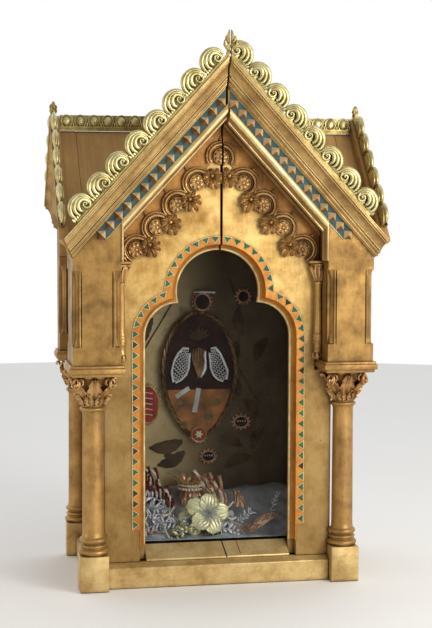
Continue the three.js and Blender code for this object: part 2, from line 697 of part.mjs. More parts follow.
// A pendant shaft let into the inner face of a pier.
function colonnette() {
  const { x, y, top, bottom, radius } = COLONNETTE;
  // Leaf drop, foot, rings, shaft, and a bell under its slab: [share of the radius, height].
  const profile = [
    [0, 0], [0.55, 1.5], [1.1, 7], [1.1, 12], [1.12, 14], [1.15, 24], [1.3, 26], [1.3, 36], [1.1, 39],
    [0.95, 43], [0.82, 120], [1.05, 122], [1.05, 125], [1.2, 138], [1.55, 147], [1.75, 149],
    [1.75, top - bottom], [0, top - bottom],
  ];
  const whole = solid(turned(profile.map(([r, h]) => [r * radius, bottom + h]), x, -y, 12));
  return geometryOf(whole.trimByPlane([-1, 0, 0], GAP - PIER.inner));
}

function buildCarving() {
  const arcade = arcadeHalf();
  add('arcade_right', arcade);
  add('arcade_left', mirrored(arcade, 'x'));
  const post = colonnette();
  add('colonnette_right', post);
  add('colonnette_left', mirrored(post, 'x'));
}

// ---------------------------------------------------------------- behind the glass

function medallionOutline() {
  const { top, bottom, halfWidth, steps } = MEDALLION;
  const heavyTop = 0.1; // the upper half is wider than the lower
  const pointed = 0.12; // and both ends are drawn in
  const middle = (top + bottom) / 2;
  const half = (top - bottom) / 2;
  const points = [];
  for (let i = 0; i < steps; i += 1) {
    const a = (2 * Math.PI * i) / steps;
    const taper = (1 + heavyTop * Math.cos(a) - pointed * Math.cos(2 * a)) / (1 + pointed);
    points.push([halfWidth * Math.sin(a) * taper, middle + half * Math.cos(a)]);
  }
  return points.reverse();
}

function buildContents() {
  const { y, thickness, top, halfWidth } = RELIC_BOARD;
  const z0 = FLOOR.top + GAP;
  add('relic_board', box(-halfWidth, halfWidth, y, y + thickness, z0, top), COLOURS.cloth, { metalness: 0 });
  add('medallion', prismXZ(medallionOutline(), y - GAP - MEDALLION.thickness, y - GAP), COLOURS.purple);
  const { radius: r, height: h, wall } = CROWN;
  const outside = [[r, 0], [r, h * 0.25], [r * 1.25, h * 0.7], [r * 1.1, h]];
  const inside = outside.map(([a, b]) => [a - wall, b]).reverse();
  const ring = [[r - wall, 0], ...outside, ...inside];
  add('crown', turned(ring.map(([a, b]) => [a, b + CROWN.bottom]), CROWN.x, CROWN.y, 20));
  const mound = new THREE.SphereGeometry(1, 16, 10);
  mound.scale(FLOWERS.halfX, FLOWERS.halfY, FLOWERS.height).translate(0, FLOWERS.y, z0);
  const heap = solid(mound).trimByPlane([0, 0, 1], z0);
  add('metal_flowers', geometryOf(heap), COLOURS.silver);
}

// ---------------------------------------------------------------- build

buildCorners();
buildPlinthRails();
buildFrontBoards();
buildSillAndGlass();
buildSidesAndBack();
buildGables();
buildCornices();
buildRoof();
buildCrockets();
buildCresting();
buildCarving();
buildContents();

export default group;
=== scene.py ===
import logging
import random
from contextlib import contextmanager
from dataclasses import dataclass, field
from enum import Enum
from functools import partial
from math import atan, atan2, copysign, cos, degrees, dist, hypot, pi, radians, sin, sqrt
from typing import Any, Iterable, Iterator, Sequence

import bmesh
import bpy
from mathutils import Matrix, Vector


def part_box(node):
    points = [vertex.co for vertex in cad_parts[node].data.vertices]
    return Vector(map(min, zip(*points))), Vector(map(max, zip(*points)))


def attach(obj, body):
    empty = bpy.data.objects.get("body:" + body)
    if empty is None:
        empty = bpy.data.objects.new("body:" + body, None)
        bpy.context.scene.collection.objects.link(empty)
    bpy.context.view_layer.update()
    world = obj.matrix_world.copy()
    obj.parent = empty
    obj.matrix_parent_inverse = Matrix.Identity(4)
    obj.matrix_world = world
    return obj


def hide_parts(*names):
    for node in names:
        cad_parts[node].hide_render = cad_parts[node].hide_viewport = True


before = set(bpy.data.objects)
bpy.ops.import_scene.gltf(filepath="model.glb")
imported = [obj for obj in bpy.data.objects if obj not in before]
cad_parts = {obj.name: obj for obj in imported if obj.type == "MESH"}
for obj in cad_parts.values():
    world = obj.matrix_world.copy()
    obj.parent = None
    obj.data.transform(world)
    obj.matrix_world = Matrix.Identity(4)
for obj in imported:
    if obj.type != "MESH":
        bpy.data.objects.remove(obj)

LOG = logging.getLogger("reliquary")
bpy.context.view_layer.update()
BACK = 122.0
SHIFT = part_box("back_board")[1].y * 1000 - BACK
MM = 0.001
BROAD = 0.003  # a face of more square metres than this is shaded flat
WELD = 2e-5  # corners of a frame node closer than this, in metres, are one
FLAT_WITHIN = radians(0.6)  # faces of a frame node within this angle are one
EASED_FROM = radians(28)  # edges sharper than this are eased
UP = Vector((0, 0, 1))

Point = tuple[float, float]


class Side(Enum):
    """Which half of the shrine a piece belongs to, as the sign of x."""

    LEFT = -1
    RIGHT = 1

    @property
    def word(self) -> str:
        """The side's name as it stands in the frame's node names."""
        return self.name.lower()

    @property
    def joint(self) -> float:
        """Where this half of the front ends at the open joint, towards its own side."""
        return JOINT_RIGHT if self is Side.RIGHT else -JOINT_LEFT


class Slot(Enum):
    """The record's material slots."""

    GILT = "gilded_wood"
    BARE = "bare_wood"
    TRIM = "silver_gilt_trim"
    GLASS = "glass"
    CLOTH = "cloth_board"
    MEDAL = "medallion"
    METAL = "gilt_metal"


# ------------------------------------------------------------------ colour and node helpers


def colour(code: str) -> tuple[float, float, float, float]:
    """Turns an sRGB hex code into a linear colour.

    Args:
        code: the colour as #RRGGBB.

    Returns:
        Linear red, green, blue and 1.
    """
    parts = [int(code[i:i + 2], 16) / 255 for i in (1, 3, 5)]
    linear = [p / 12.92 if p <= 0.04045 else ((p + 0.055) / 1.055) ** 2.4 for p in parts]
    return (linear[0], linear[1], linear[2], 1.0)


def add_node(tree: Any, kind: str, inputs: dict[str | int, Any] | None = None,
             out: str | int = 0, **settings: Any) -> Any:
    """Adds one node, sets its properties, and fills or links its inputs.

    Args:
        tree: the node tree.
        kind: the node's type name.
        inputs: a value or another node's output for each named or numbered input.
        out: the output that is wanted.
        settings: properties of the node.

    Returns:
        That output, or None where the node has none.
    """
    made = tree.nodes.new(kind)
    for key, value in settings.items():
        setattr(made, key, value)
    for key, value in (inputs or {}).items():
        if isinstance(value, bpy.types.NodeSocket):
            tree.links.new(value, made.inputs[key])
        else:
            made.inputs[key].default_value = value
    return made.outputs[out] if len(made.outputs) else None


class Surface:
    """A node material while it is built: its tree, its shader, and the place on the piece."""

    def __init__(self, name: str) -> None:
        """Makes the material with its Principled shader joined to the output.

        Args:
            name: what the material is.
        """
        self.made = bpy.data.materials.new(name)
        self.made.use_nodes = True
        self.tree = self.made.node_tree
        self.tree.nodes.clear()
        self.add = partial(add_node, self.tree)
        self.shader = self.add("ShaderNodeBsdfPrincipled").node
        self.add("ShaderNodeOutputMaterial", {"Surface": self.shader.outputs[0]})
        self.place = self.add("ShaderNodeTexCoord", out="Object")

    def layered(self, skin: Any, *layers: tuple[Any, str]) -> Any:
        """Lays colours over a skin, one after the other.

        Args:
            skin: the colour underneath.
            layers: for each colour the share that covers, and its hex code.

        Returns:
            The colour on top.
        """
        for share, code in layers:
            skin = self.add("ShaderNodeMix", {0: share, 6: skin, 7: colour(code)}, 2,
                            data_type="RGBA")
        return skin

    def ground(self, pattern: Any, low: float, high: float, finish: Any) -> tuple[Any, Any]:
        """Spreads a finish's shade and light by a pattern.

        Args:
            pattern: the pattern.
            low: its value where the shade is full.
            high: its value where the light is full.
            finish: what holds the two colours.

        Returns:
            The share of light, and the colour.
        """
        tone = self.add("ShaderNodeMapRange", {0: pattern, 1: low, 2: high})
        return tone, self.layered(colour(finish.shade), (tone, finish.light))

    def hollows(self, reach: float, low: float, high: float, most: float) -> Any:
        """How much dirt and painted shade lie in the hollows, found by ambient occlusion.

        Args:
            reach: how far a hollow is felt, in metres.
            low: the openness at which the darkening is full.
            high: the openness at which it ends.
            most: the share of darkening where it is full.

        Returns:
            The share of darkening.
        """
        bare = self.add("ShaderNodeAmbientOcclusion", {"Distance": reach}, 1, samples=4)
        return self.add("ShaderNodeMapRange", {0: bare, 1: low, 2: high, 3: most, 4: 0.0})

    def dressed(self, skin: Any, dull: Any, height: Any, strength: float, deep: float,
                metal: float = 0.0) -> Any:
        """Joins colour, roughness and relief to the shader.

        Args:
            skin: the colour.
            dull: the roughness.
            height: the pattern that stands up.
            strength: how strongly it shows.
            deep: how deep it is, in metres.
            metal: how metallic the surface is.

        Returns:
            The finished material.
        """
        relief = self.add("ShaderNodeBump",
                          {"Height": height, "Strength": strength, "Distance": deep})
        for name, value in (("Base Color", skin), ("Roughness", dull), ("Normal", relief)):
            self.tree.links.new(value, self.shader.inputs[name])
        self.shader.inputs["Metallic"].default_value = metal
        return self.made


# ------------------------------------------------------------------ finishes


@dataclass(frozen=True)
class Gilding:
    """Water gilding on red bole and gesso over carved wood.

    The gold is patchy and rubbed, brown dirt and painted shade darken the hollows, and the wood's
    grain, fine scratches and a few worm holes show through. The field after `smudged` paints shade
    that darkens the gold towards the bottom: the height where it is full, the height where it ends,
    and how much of it there is.
    """

    name: str
    light: str = "#D2A24C"
    shade: str = "#94702F"
    bole: str = "#8C4E22"
    dirt: str = "#2E1E0C"
    smudge: str = "#6A5C34"
    smudged: float = 0.4
    sooty: tuple[float, float, float] = (0.0, 0.1, 0.0)
    metal: float = 0.62
    roughness: float = 0.44
    hollow_mm: float = 7.0
    rubbed: float = 0.35
    along: tuple[float, float, float] = (1.0, 1.0, 0.2)

    def material(self) -> Any:
        """Builds the node material.

        Returns:
            The material.
        """
        s = Surface(self.name)
        add, place = s.add, s.place
        drawn = add("ShaderNodeMapping", {0: place, 3: self.along})
        broad, grain, speck, smoke = (
            add("ShaderNodeTexNoise", {0: at, "Scale": scale, "Detail": detail,
                                       "Roughness": rough, "Distortion": bent})
            for at, scale, detail, rough, bent in (
                (place, 22.0, 8.0, 0.68, 0.0), (drawn, 210.0, 7.0, 0.72, 0.0),
                (place, 480.0, 3.0, 0.6, 0.0), (place, 9.0, 9.0, 0.75, 0.4)))
        both = add("ShaderNodeMath", {0: grain, 1: 0.28, 2: broad}, operation="MULTIPLY_ADD")
        patchy, gold = s.ground(both, 0.44, 0.74, self)
        smudge = add("ShaderNodeMapRange", {0: smoke, 1: 0.54, 2: 0.74, 3: 0.0, 4: self.smudged})
        # Painted shade: the gold darkens towards the bottom in the smudge colour, as the field
        # after `smudged` sets.
        full, clean, most = self.sooty
        height = add("ShaderNodeSeparateXYZ", {0: place}, 2)
        low_shade = add("ShaderNodeMapRange", {0: height, 1: full, 2: clean, 3: most, 4: 0.0},
                   interpolation_type="SMOOTHSTEP")
        rub = add("ShaderNodeMath", {0: grain, 1: speck}, operation="MULTIPLY")
        thin = add("ShaderNodeMapRange", {0: rub, 1: 0.3, 2: 0.4, 3: 0.0, 4: self.rubbed})
        cells = add("ShaderNodeTexVoronoi", {0: place, "Scale": 62.0})
        hole = add("ShaderNodeMapRange", {0: cells, 1: 0.05, 2: 0.075, 3: 0.85, 4: 0.0})
        some = add("ShaderNodeMapRange", {0: broad, 1: 0.56, 2: 0.6})
        worm = add("ShaderNodeMath", {0: hole, 1: some}, operation="MULTIPLY")
        # Dirt and painted shade darken the hollows.
        grime_and_shade = s.hollows(self.hollow_mm * MM, 0.25, 0.85, 0.82)
        skin = s.layered(gold, (smudge, self.smudge), (low_shade, self.smudge), (thin, self.bole),
                         (worm, self.dirt), (grime_and_shade, self.dirt))
        dull = add("ShaderNodeMapRange",
                   {0: patchy, 3: self.roughness + 0.14, 4: self.roughness - 0.06})
        return s.dressed(skin, dull, both, 0.22, 0.0009, self.metal)


@dataclass(frozen=True)
class Paint:
    """Old paint or cloth colour with uneven tone, rubbed through in small places."""

    name: str
    light: str
    shade: str
    under: str = "#A97B38"
    roughness: float = 0.6
    metal: float = 0.0
    scale: float = 260.0
    worn: float = 0.6
    bump: float = 0.15

    def material(self) -> Any:
        """Builds the node material.

        Returns:
            The material.
        """
        s = Surface(self.name)
        broad = s.add("ShaderNodeTexNoise", {0: s.place, "Scale": self.scale / 5, "Detail": 5.0})
        fine = s.add("ShaderNodeTexNoise",
                     {0: s.place, "Scale": self.scale, "Detail": 6.0, "Roughness": 0.7})
        laid = s.ground(broad, 0.35, 0.65, self)[1]
        chips = s.add("ShaderNodeMapRange", {0: fine, 1: 0.6, 2: 0.7, 3: 0.0, 4: self.worn})
        dull = s.add("ShaderNodeMapRange",
                     {0: fine, 3: self.roughness - 0.1, 4: self.roughness + 0.15})
        return s.dressed(s.layered(laid, (chips, self.under)), dull, fine, self.bump, 0.0006,
                         self.metal)


@dataclass(frozen=True)
class Wood:
    """Bare or thinly toned softwood: long streaks of grain along one axis and old stains; its
    hollows darken with dirt and painted shade.
    """

    name: str
    light: str
    shade: str
    stretch: tuple[float, float, float]
    roughness: float = 0.62
    metal: float = 0.0
    dirt: str = "#241A0C"

    def material(self) -> Any:
        """Builds the node material.

        Returns:
            The material.
        """
        s = Surface(self.name)
        drawn = s.add("ShaderNodeMapping", {0: s.place, 3: self.stretch})
        grain = s.add("ShaderNodeTexNoise", {0: drawn, "Scale": 110.0, "Detail": 8.0,
                                             "Roughness": 0.7, "Distortion": 0.6})
        stain = s.add("ShaderNodeTexNoise", {0: s.place, "Scale": 11.0, "Detail": 4.0})
        both = s.add("ShaderNodeMath", {0: stain, 1: 0.7, 2: grain}, operation="MULTIPLY_ADD")
        laid = s.ground(both, 0.62, 1.05, self)[1]
        # Dirt and painted shade darken the hollows.
        skin = s.layered(laid, (s.hollows(0.012, 0.3, 0.8, 0.6), self.dirt))
        dull = s.add("ShaderNodeMapRange",
                     {0: grain, 3: self.roughness - 0.1, 4: self.roughness + 0.12})
        return s.dressed(skin, dull, grain, 0.3, 0.0008, self.metal)


@dataclass(frozen=True)
class StampedMetal:
    """Thin silver or brass leafwork under yellow varnish, its folds darkened with painted shade."""

    name: str
    light: str
    shade: str
    fold: str
    roughness: float = 0.28
    hollow_mm: float = 5.0
    metal: float = 0.85

    def material(self) -> Any:
        """Builds the node material.

        Returns:
            The material.
        """
        s = Surface(self.name)
        cloud = s.add("ShaderNodeTexNoise",
                      {0: s.place, "Scale": 90.0, "Detail": 5.0, "Roughness": 0.6})
        skin = s.ground(cloud, 0.3, 0.62, self)[1]
        # Painted shade darkens the folds.
        fold_shaded = s.layered(skin, (s.hollows(self.hollow_mm * MM, 0.3, 0.8, 0.9), self.fold))
        dull = s.add("ShaderNodeMapRange",
                     {0: cloud, 3: self.roughness + 0.12, 4: self.roughness - 0.05})
        return s.dressed(fold_shaded, dull, cloud, 0.12, 0.0006, self.metal)


@dataclass(frozen=True)
class CoveredBoard:
    """Cream silk over a board, with a fine weave and brown tide marks; its right half is painted
    dark as shade.
    """

    name: str = "Stained_Cream_Silk"
    light: str = "#DCCB9C"
    shade: str = "#A48C58"
    stain: str = "#4E3A20"
    soaked: str = "#3A2A1C"

    def material(self) -> Any:
        """Builds the node material; the threads are drawn coarser than silk's, to show.

        Returns:
            The material.
        """
        s = Surface(self.name)
        cloud = s.add("ShaderNodeTexNoise",
                      {0: s.place, "Scale": 13.0, "Detail": 7.0, "Roughness": 0.65})
        silk = s.ground(cloud, 0.36, 0.62, self)[1]
        tide = s.add("ShaderNodeMapRange", {0: cloud, 1: 0.58, 2: 0.64, 3: 0.0, 4: 0.45})
        # Painted shade: the silk darkens towards the right, for the shade that the right jamb casts
        # on the board.
        across = s.add("ShaderNodeSeparateXYZ", {0: s.place})
        reach = s.add("ShaderNodeMath", {0: cloud, 1: 0.09, 2: across}, operation="MULTIPLY_ADD")
        soaked = s.add("ShaderNodeMapRange", {0: reach, 1: -0.04, 2: 0.075, 3: 0.0, 4: 0.88})
        warp, weft = (s.add("ShaderNodeTexWave", {0: s.place, "Scale": 620.0}, 1,
                            bands_direction=way) for way in "XZ")
        weave = s.add("ShaderNodeMath", {0: warp, 1: weft}, operation="MULTIPLY")
        dull = s.add("ShaderNodeMapRange", {0: weave, 3: 0.8, 4: 0.6})
        s.shader.inputs["Sheen Weight"].default_value = 0.2
        return s.dressed(s.layered(silk, (tide, self.stain), (soaked, self.soaked)), dull, weave,
                         0.25, 0.0003)


@dataclass(frozen=True)
class WindowGlass:
    """One clear old sheet, a little grey with dust."""

    name: str = "Old_Window_Glass"
    tint: str = "#1B1612"
    open_share: float = 0.86
    shine: float = 0.1

    def material(self) -> Any:
        """Builds the node material: its openness is a plain value on the shader.

        Returns:
            The material.
        """
        s = Surface(self.name)
        dust = s.add("ShaderNodeTexNoise", {0: s.place, "Scale": 30.0, "Detail": 4.0})
        film = s.add("ShaderNodeMapRange", {0: dust, 3: 0.02, 4: 0.08})
        s.tree.links.new(film, s.shader.inputs["Roughness"])
        for name, value in (("Base Color", colour(self.tint)), ("Alpha", 1 - self.open_share),
                            ("Specular IOR Level", self.shine)):
            s.shader.inputs[name].default_value = value
        return s.made


class Finishes:
    """Every finish on the shrine, made once."""

    def __init__(self) -> None:
        """Describes the finishes, then turns each into its material."""
        # Water-gilded boards, burnished over gesso: warm, satin, cloudy with old smoke; the front
        # boards darken towards the bottom as painted shade.
        self.front = Gilding("Gilded_Front_Boards", "#DEBA72", "#A47832", metal=0.55,
                             smudge="#6C5028", sooty=(0.3, 0.5, 0.62))
        self.member = Gilding("Gilded_Columns", "#BC9354", "#7E5C30", bole="#7A4A22",
                              sooty=(0.3, 0.4, 0.0))
        self.pier = Gilding("Dulled_Gilding_Of_Piers", "#AB8548", "#72532B", bole="#6E4A26",
                            smudge="#6A5634", roughness=0.5, smudged=0.6)
        # The plinth's own pale gold, painted paler still to stand in for the white floor's
        # reflection.
        self.plinth = Gilding("Gilded_Plinth", "#DCBF82", "#A58046", metal=0.5,
                              along=(0.2, 1.0, 1.0))
        self.rake = Gilding("Gilded_Cornice", "#C8A466", "#86663A", bole="#6E3F1A",
                            hollow_mm=4.0, along=(1.0, 1.0, 1.0))
        # Burnished gold painted pale as highlights: thin bright lines along the mouldings, the roll
        # and the sill.
        self.arris = Gilding("Burnished_Arrises", "#E4CA90", "#B08C50", metal=0.5, roughness=0.34,
                             hollow_mm=2.0, rubbed=0.5, smudged=0.2)
        # Gilded carving: bright crests over hollows darkened nearly black-brown with dirt and
        # painted shade.
        self.carving = Gilding("Gilded_Carving", "#DDB273", "#99683A", bole="#7C4A26",
                               dirt="#3A1C0C", roughness=0.34, hollow_mm=9.0,
                               along=(1.0, 1.0, 1.0))
        # Leaves of the arcade: their gold is painted darker, with deep hollow darkening, as the
        # shade of their undercuts.
        self.spray = Gilding("Dark_Gilded_Leaves", "#C09458", "#6E4624", bole="#5A3218",
                             dirt="#2A140A", roughness=0.32, hollow_mm=11.0, along=(1.0, 1.0, 1.0))
        self.slender = Gilding("Gilded_Colonnettes", "#D2AA66", "#A1763E", roughness=0.34,
                               hollow_mm=3.0)
        # Gold leaf laid thin over orange bole: it glows orange in the curve.
        self.cove = Gilding("Orange_Gilded_Cove", "#D08E38", "#9C5E20", bole="#A4501A",
                            metal=0.45, roughness=0.38, rubbed=0.5, smudged=0.25)
        # Lit and shaded copies of the pyramids' gold: the pale copy paints the light on the facets,
        # the brown copy paints shade on those that face down and, on the left half, those that face
        # left.
        self.pyramid = Gilding("Gilded_Pyramids", "#E4C898", "#BC9866", metal=0.3, roughness=0.5,
                               hollow_mm=3.0, smudged=0.2, along=(1.0, 1.0, 1.0))
        self.pyramid_shade = Gilding("Toned_Pyramid_Facets", "#8C6A42", "#5C4228", metal=0.3,
                                     roughness=0.5, hollow_mm=3.0, smudged=0.2,
                                     along=(1.0, 1.0, 1.0))
        # The arcade's sunk ground: orange gold, darkened with dirt and painted shade over a wide
        # reach.
        self.recess = Gilding("Sunk_Ground_Of_Arcade", "#C08A40", "#7E5022", dirt="#4A240E",
                              metal=0.45, hollow_mm=16.0)
        # Distemper paints: matt, chipped to the gold beneath.
        self.teal = Paint("Teal_Painted_Band", "#2F5A5E", "#1F4144", under="#8B7A4A", worn=0.35)
        self.green = Paint("Green_Painted_Triangles", "#2F6B48", "#1C4430", worn=0.35)
        self.black = Paint("Darkened_Triangles", "#2C2416", "#17110A", worn=0.4)
        self.cream = Paint("Cream_Painted_Line", "#E2D09A", "#B99C5E", under="#9A7436")
        self.red = Paint("Red_Brown_Paint", "#7C2E1A", "#4C1A10")
        # Stamped silver-gilt sheet: pale yellow, sharp glints, folds darkened with painted shade.
        self.trim = StampedMetal("Silver_Gilt_Leafwork", "#DDD29A", "#A5935A",
                                 "#3E3216", roughness=0.34)
        self.strip = StampedMetal("Silver_Gilt_Strip", "#B9A564", "#7C6836", "#2E240F",
                                  roughness=0.42)
        # Planed softwood under a thin yellow glaze, or bare: long streaks, little shine.
        self.side_wood = Wood("Toned_Side_Boards", "#B08C54", "#7A5C34", (1.0, 1.0, 0.06),
                              metal=0.25)
        self.roof_wood = Wood("Toned_Roof_Boards", "#C49A58", "#A47C46", (1.0, 0.2, 0.06),
                              metal=0.15)
        self.back_wood = Wood("Bare_Back_Boards", "#8C6D42", "#543C20", (1.0, 1.0, 0.05))
        # Painted shade: the case's inner floor and ceiling boards are painted dark for the shade
        # inside the case.
        self.inner_wood = Wood("Dark_Inner_Boards", "#4E3820", "#2A1C0F", (0.1, 1.0, 1.0))
        self.gap = Paint("Shadowed_Joint", "#1D130A", "#0D0804", worn=0.2)
        # Silk and blown glass: a faint sheen behind one clear sheet.
        self.silk = CoveredBoard()
        self.glass = WindowGlass()
        # Woven cotton and velvet, and size paint on the medallion: soft and without glints.
        self.floor_cloth = Paint("Grey_Blue_Cloth", "#C2CCD2", "#98A2AA", under="#8E969C",
                                 roughness=0.85, worn=0.3)
        self.velvet = Paint("Purple_Brown_Velvet", "#38201C", "#1E110E", under="#523830",
                            roughness=0.85, worn=0.3)
        self.scenery = Paint("Brown_Green_Scenery", "#7A642E", "#4E4622", under="#8A6A34")
        self.landscape = Paint("Orange_Brown_Ground", "#B4722E", "#5E3C1C", under="#4C4A2A",
                               scale=150.0)
        # Silk petals, pressed leaves, and paper: matt, darkened at the edges.
        self.scarlet = Paint("Red_Silk", "#B51D1B", "#7A0E12", under="#5A0A0C",
                             roughness=0.5, worn=0.3)
        self.wine = Paint("Dark_Red_Petals", "#6E1B1E", "#3A0C10", roughness=0.55)
        self.pressed = Paint("Pressed_Brown_Leaves", "#5A4628", "#332614",
                             under="#7A6438", roughness=0.7)
        # Drawn wire, glass pearls, foil and sheet brass: small bright glints in the dark.
        self.wire = StampedMetal("Bright_Silver_Wire", "#F4F7FA", "#C8D0D8", "#747C84", metal=0.4)
        self.pearl = Paint("Glass_Pearls", "#F8F0DE", "#E0D0B4", under="#C8B48C", roughness=0.3,
                           worn=0.2)
        self.sprout = StampedMetal("Green_Tinted_Foil", "#7E9068", "#485A3A", "#1E2A16")
        self.paper = Paint("Pale_Paper_Strips", "#C9CFC8", "#9AA29C", under="#7E8A86",
                           roughness=0.7, worn=0.3)
        self.silver = StampedMetal("Silver_Filigree", "#E0E4E6", "#9AA2A6", "#2B2B28", metal=0.5)
        self.pale_gold = StampedMetal("Pale_Gilt_Petals", "#ECEBC2", "#BCBC86",
                                      "#6A6236", roughness=0.3, metal=0.4)
        self.copper = StampedMetal("Copper_Gilt_Leaves", "#F0C0A0", "#B47C5C",
                                   "#4C2A1C", roughness=0.3, metal=0.55)
        self.rope = StampedMetal("Tarnished_Rope_Border", "#8E7350", "#5A442C",
                                 "#1E150C", roughness=0.45)
        self.brass = StampedMetal("Gilt_Brass_Sheet", "#E6CF92", "#A88446", "#3E2C12", metal=0.6)
        for word, finish in list(vars(self).items()):
            setattr(self, word, finish.material())


# ------------------------------------------------------------------ shaping


def turns(count: int) -> list[float]:
    """Evenly spread angles of one full turn, in radians."""
    return [2 * pi * i / count for i in range(count)]


def shares(count: int) -> list[float]:
    """Evenly spread shares from 0 to 1, one more than the count."""
    return [i / count for i in range(count + 1)]


def level(angle: float) -> tuple[Vector, Vector]:
    """The way out from an upright axis at an angle in radians, and the way across it."""
    return (Vector((cos(angle), sin(angle), 0)), Vector((sin(angle), -cos(angle), 0)))


def facing(angle: float) -> tuple[Vector, Vector]:
    """The way out in the plane of the front at an angle in radians, and the way across it."""
    return (Vector((cos(angle), 0, sin(angle))), Vector((sin(angle), 0, -cos(angle))))


@contextmanager
def opened(mesh: Any) -> Iterator[Any]:
    """Opens a mesh for work on its corners and faces, and writes it back afterwards.

    Args:
        mesh: the mesh.

    Yields:
        Its corners and faces, to be worked on.
    """
    work = bmesh.new()
    work.from_mesh(mesh)
    yield work
    work.to_mesh(mesh)
    work.free()


def in_scene(name: str, data: Any) -> Any:
    """Puts a mesh, a lamp or a camera in the scene and returns its object."""
    made = bpy.data.objects.new(name, data)
    bpy.context.scene.collection.objects.link(made)
    return made


def plain(rough: Any) -> Any:
    """Turns an object with live modifiers into a plain mesh and removes the object.

    Args:
        rough: the object.

    Returns:
        The mesh, with the modifiers applied.
    """
    graph = bpy.context.evaluated_depsgraph_get()
    mesh = bpy.data.meshes.new_from_object(rough.evaluated_get(graph))
    bpy.data.objects.remove(rough)
    return mesh


class Stock:
    """The corners and faces of a piece while it is being shaped, in millimetres."""

    def __init__(self) -> None:
        """Starts empty."""
        self.points: list[Vector] = []
        self.faces: list[tuple[int, ...]] = []
        self.marks: list[int] = []

    def add(self, points: Iterable[Sequence[float]], faces: Iterable[Sequence[int]],
            mark: int = 0) -> None:
        """Adds a shape.

        Args:
            points: its corners.
            faces: its faces, by the numbers of their corners.
            mark: the number of its finish.
        """
        base = len(self.points)
        self.points += [Vector(p) for p in points]
        for face in faces:
            self.faces.append(tuple(base + i for i in face))
            self.marks.append(mark)

    def join(self, other: "Stock", place: Matrix | None = None) -> None:
        """Adds another shape, moved by a matrix where one is given.

        Args:
            other: the shape.
            place: where it goes, or None to leave it where it is.
        """
        move = place or Matrix.Identity(4)
        base = len(self.points)
        self.points += [move @ p for p in other.points]
        self.faces += [tuple(base + i for i in face) for face in other.faces]
        self.marks += other.marks

    def loft(self, rings: Sequence[Sequence[Sequence[float]]], around: bool = True,
             caps: bool = True, loop: bool = False, mark: int = 0) -> None:
        """Joins rings of equally many points with quads.

        Args:
            rings: the rows of points.
            around: whether each row closes on itself.
            caps: whether the first and last row are filled.
            loop: whether the last row joins the first.
            mark: the number of the finish.
        """
        n = len(rings[0])
        count = len(rings)
        faces: list[tuple[int, ...]] = []
        for j in range(count if loop else count - 1):
            a, b = j * n, ((j + 1) % count) * n
            for i in range(n if around else n - 1):
                k = (i + 1) % n
                faces.append((a + i, a + k, b + k, b + i))
        if caps and not loop:
            faces.append(tuple(range(n - 1, -1, -1)))
            faces.append(tuple((count - 1) * n + i for i in range(n)))
        self.add([p for ring in rings for p in ring], faces, mark)

    def slab(self, outline: Sequence[Point], y0: float, y1: float, mark: int = 0) -> None:
        """A flat piece with its outline in x and z, from y0 back to y1."""
        self.loft([[(x, y, z) for x, z in outline] for y in (y0, y1)], mark=mark)

    def turned(self, profile: Sequence[Point], x: float = 0.0, y: float = 0.0,
               sides: int = 40, mark: int = 0) -> None:
        """A piece turned on an upright axis; the profile is radius and height."""
        self.loft([[(x + r * cos(a), y + r * sin(a), z) for a in turns(sides)]
                   for r, z in profile], mark=mark)

    def tube(self, path: Sequence[Sequence[float]], radii: float | Sequence[float],
             sides: int = 8, flat: float = 1.0, loop: bool = False, mark: int = 0) -> None:
        """A round bar along a path.

        Args:
            path: the points of its middle line.
            radii: its radius, or one for each point.
            sides: how many sides it has.
            flat: its depth along y as a share of its width.
            loop: whether the path closes.
            mark: the number of the finish.
        """
        line = [Vector(p) for p in path]
        n = len(line)
        sizes = [radii] * n if isinstance(radii, (int, float)) else list(radii)
        rings = []
        across = None
        for i, here in enumerate(line):
            before = line[(i - 1) % n] if loop or i else here
            after = line[(i + 1) % n] if loop or i < n - 1 else here
            ahead = (after - before).normalized()
            if across is None:
                guide = Vector((0, 1, 0)) if abs(ahead.y) < 0.9 else Vector((1, 0, 0))
                across = ahead.cross(guide).normalized()
            across = (across - ahead * across.dot(ahead)).normalized()
            other = ahead.cross(across)
            rings.append([here + (across * cos(a) + other * sin(a) * flat) * sizes[i]
                          for a in turns(sides)])
        self.loft(rings, loop=loop, mark=mark)

    def leaf(self, spine: Sequence[Sequence[float]], side: Sequence[float],
             widths: Sequence[float], cup: float = 0.3, ribs: float = 0.0, rib: float = 0.0,
             thick: float = 0.8, across: int = 8, mark: int = 0) -> None:
        """A leaf or petal with its back, closed all round.

        Args:
            spine: the points of its middle line, from stalk to tip.
            side: the direction across it.
            widths: its half width at each point.
            cup: how far its edges bend away, as a share of the half width.
            ribs: how many flutes run along it.
            rib: how deep they are.
            thick: its thickness.
            across: how many faces lie across it.
            mark: the number of the finish.
        """
        line = [Vector(p) for p in spine]
        over = Vector(side).normalized()
        rings = []
        for i, here in enumerate(line):
            ahead = (line[min(i + 1, len(line) - 1)] - line[max(i - 1, 0)]).normalized()
            out = over.cross(ahead).normalized()
            half = widths[i]
            face, back = [], []
            for k in range(across + 1):
                u = 2 * k / across - 1
                lift = -cup * half * u * u + rib * cos(pi * ribs * u)
                at = here + over * (u * half) + out * lift
                face.append(at)
                back.append(at - out * thick)
            rings.append(face + back[::-1])
        self.loft(rings, mark=mark)

    def dome(self, at: Sequence[float], size: Sequence[float], steps: int = 5, sides: int = 12,
             mark: int = 0) -> None:
        """A closed egg shape.

        Args:
            at: its middle.
            size: its half sizes.
            steps: how many rings a half has.
            sides: how many sides a ring has.
            mark: the number of the finish.
        """
        self.loft([[(at[0] + size[0] * sin(a) * cos(b), at[1] - size[1] * cos(a),
                     at[2] + size[2] * sin(a) * sin(b)) for b in turns(sides)]
                   for a in (pi * j / (steps * 2) for j in range(1, steps * 2))], mark=mark)

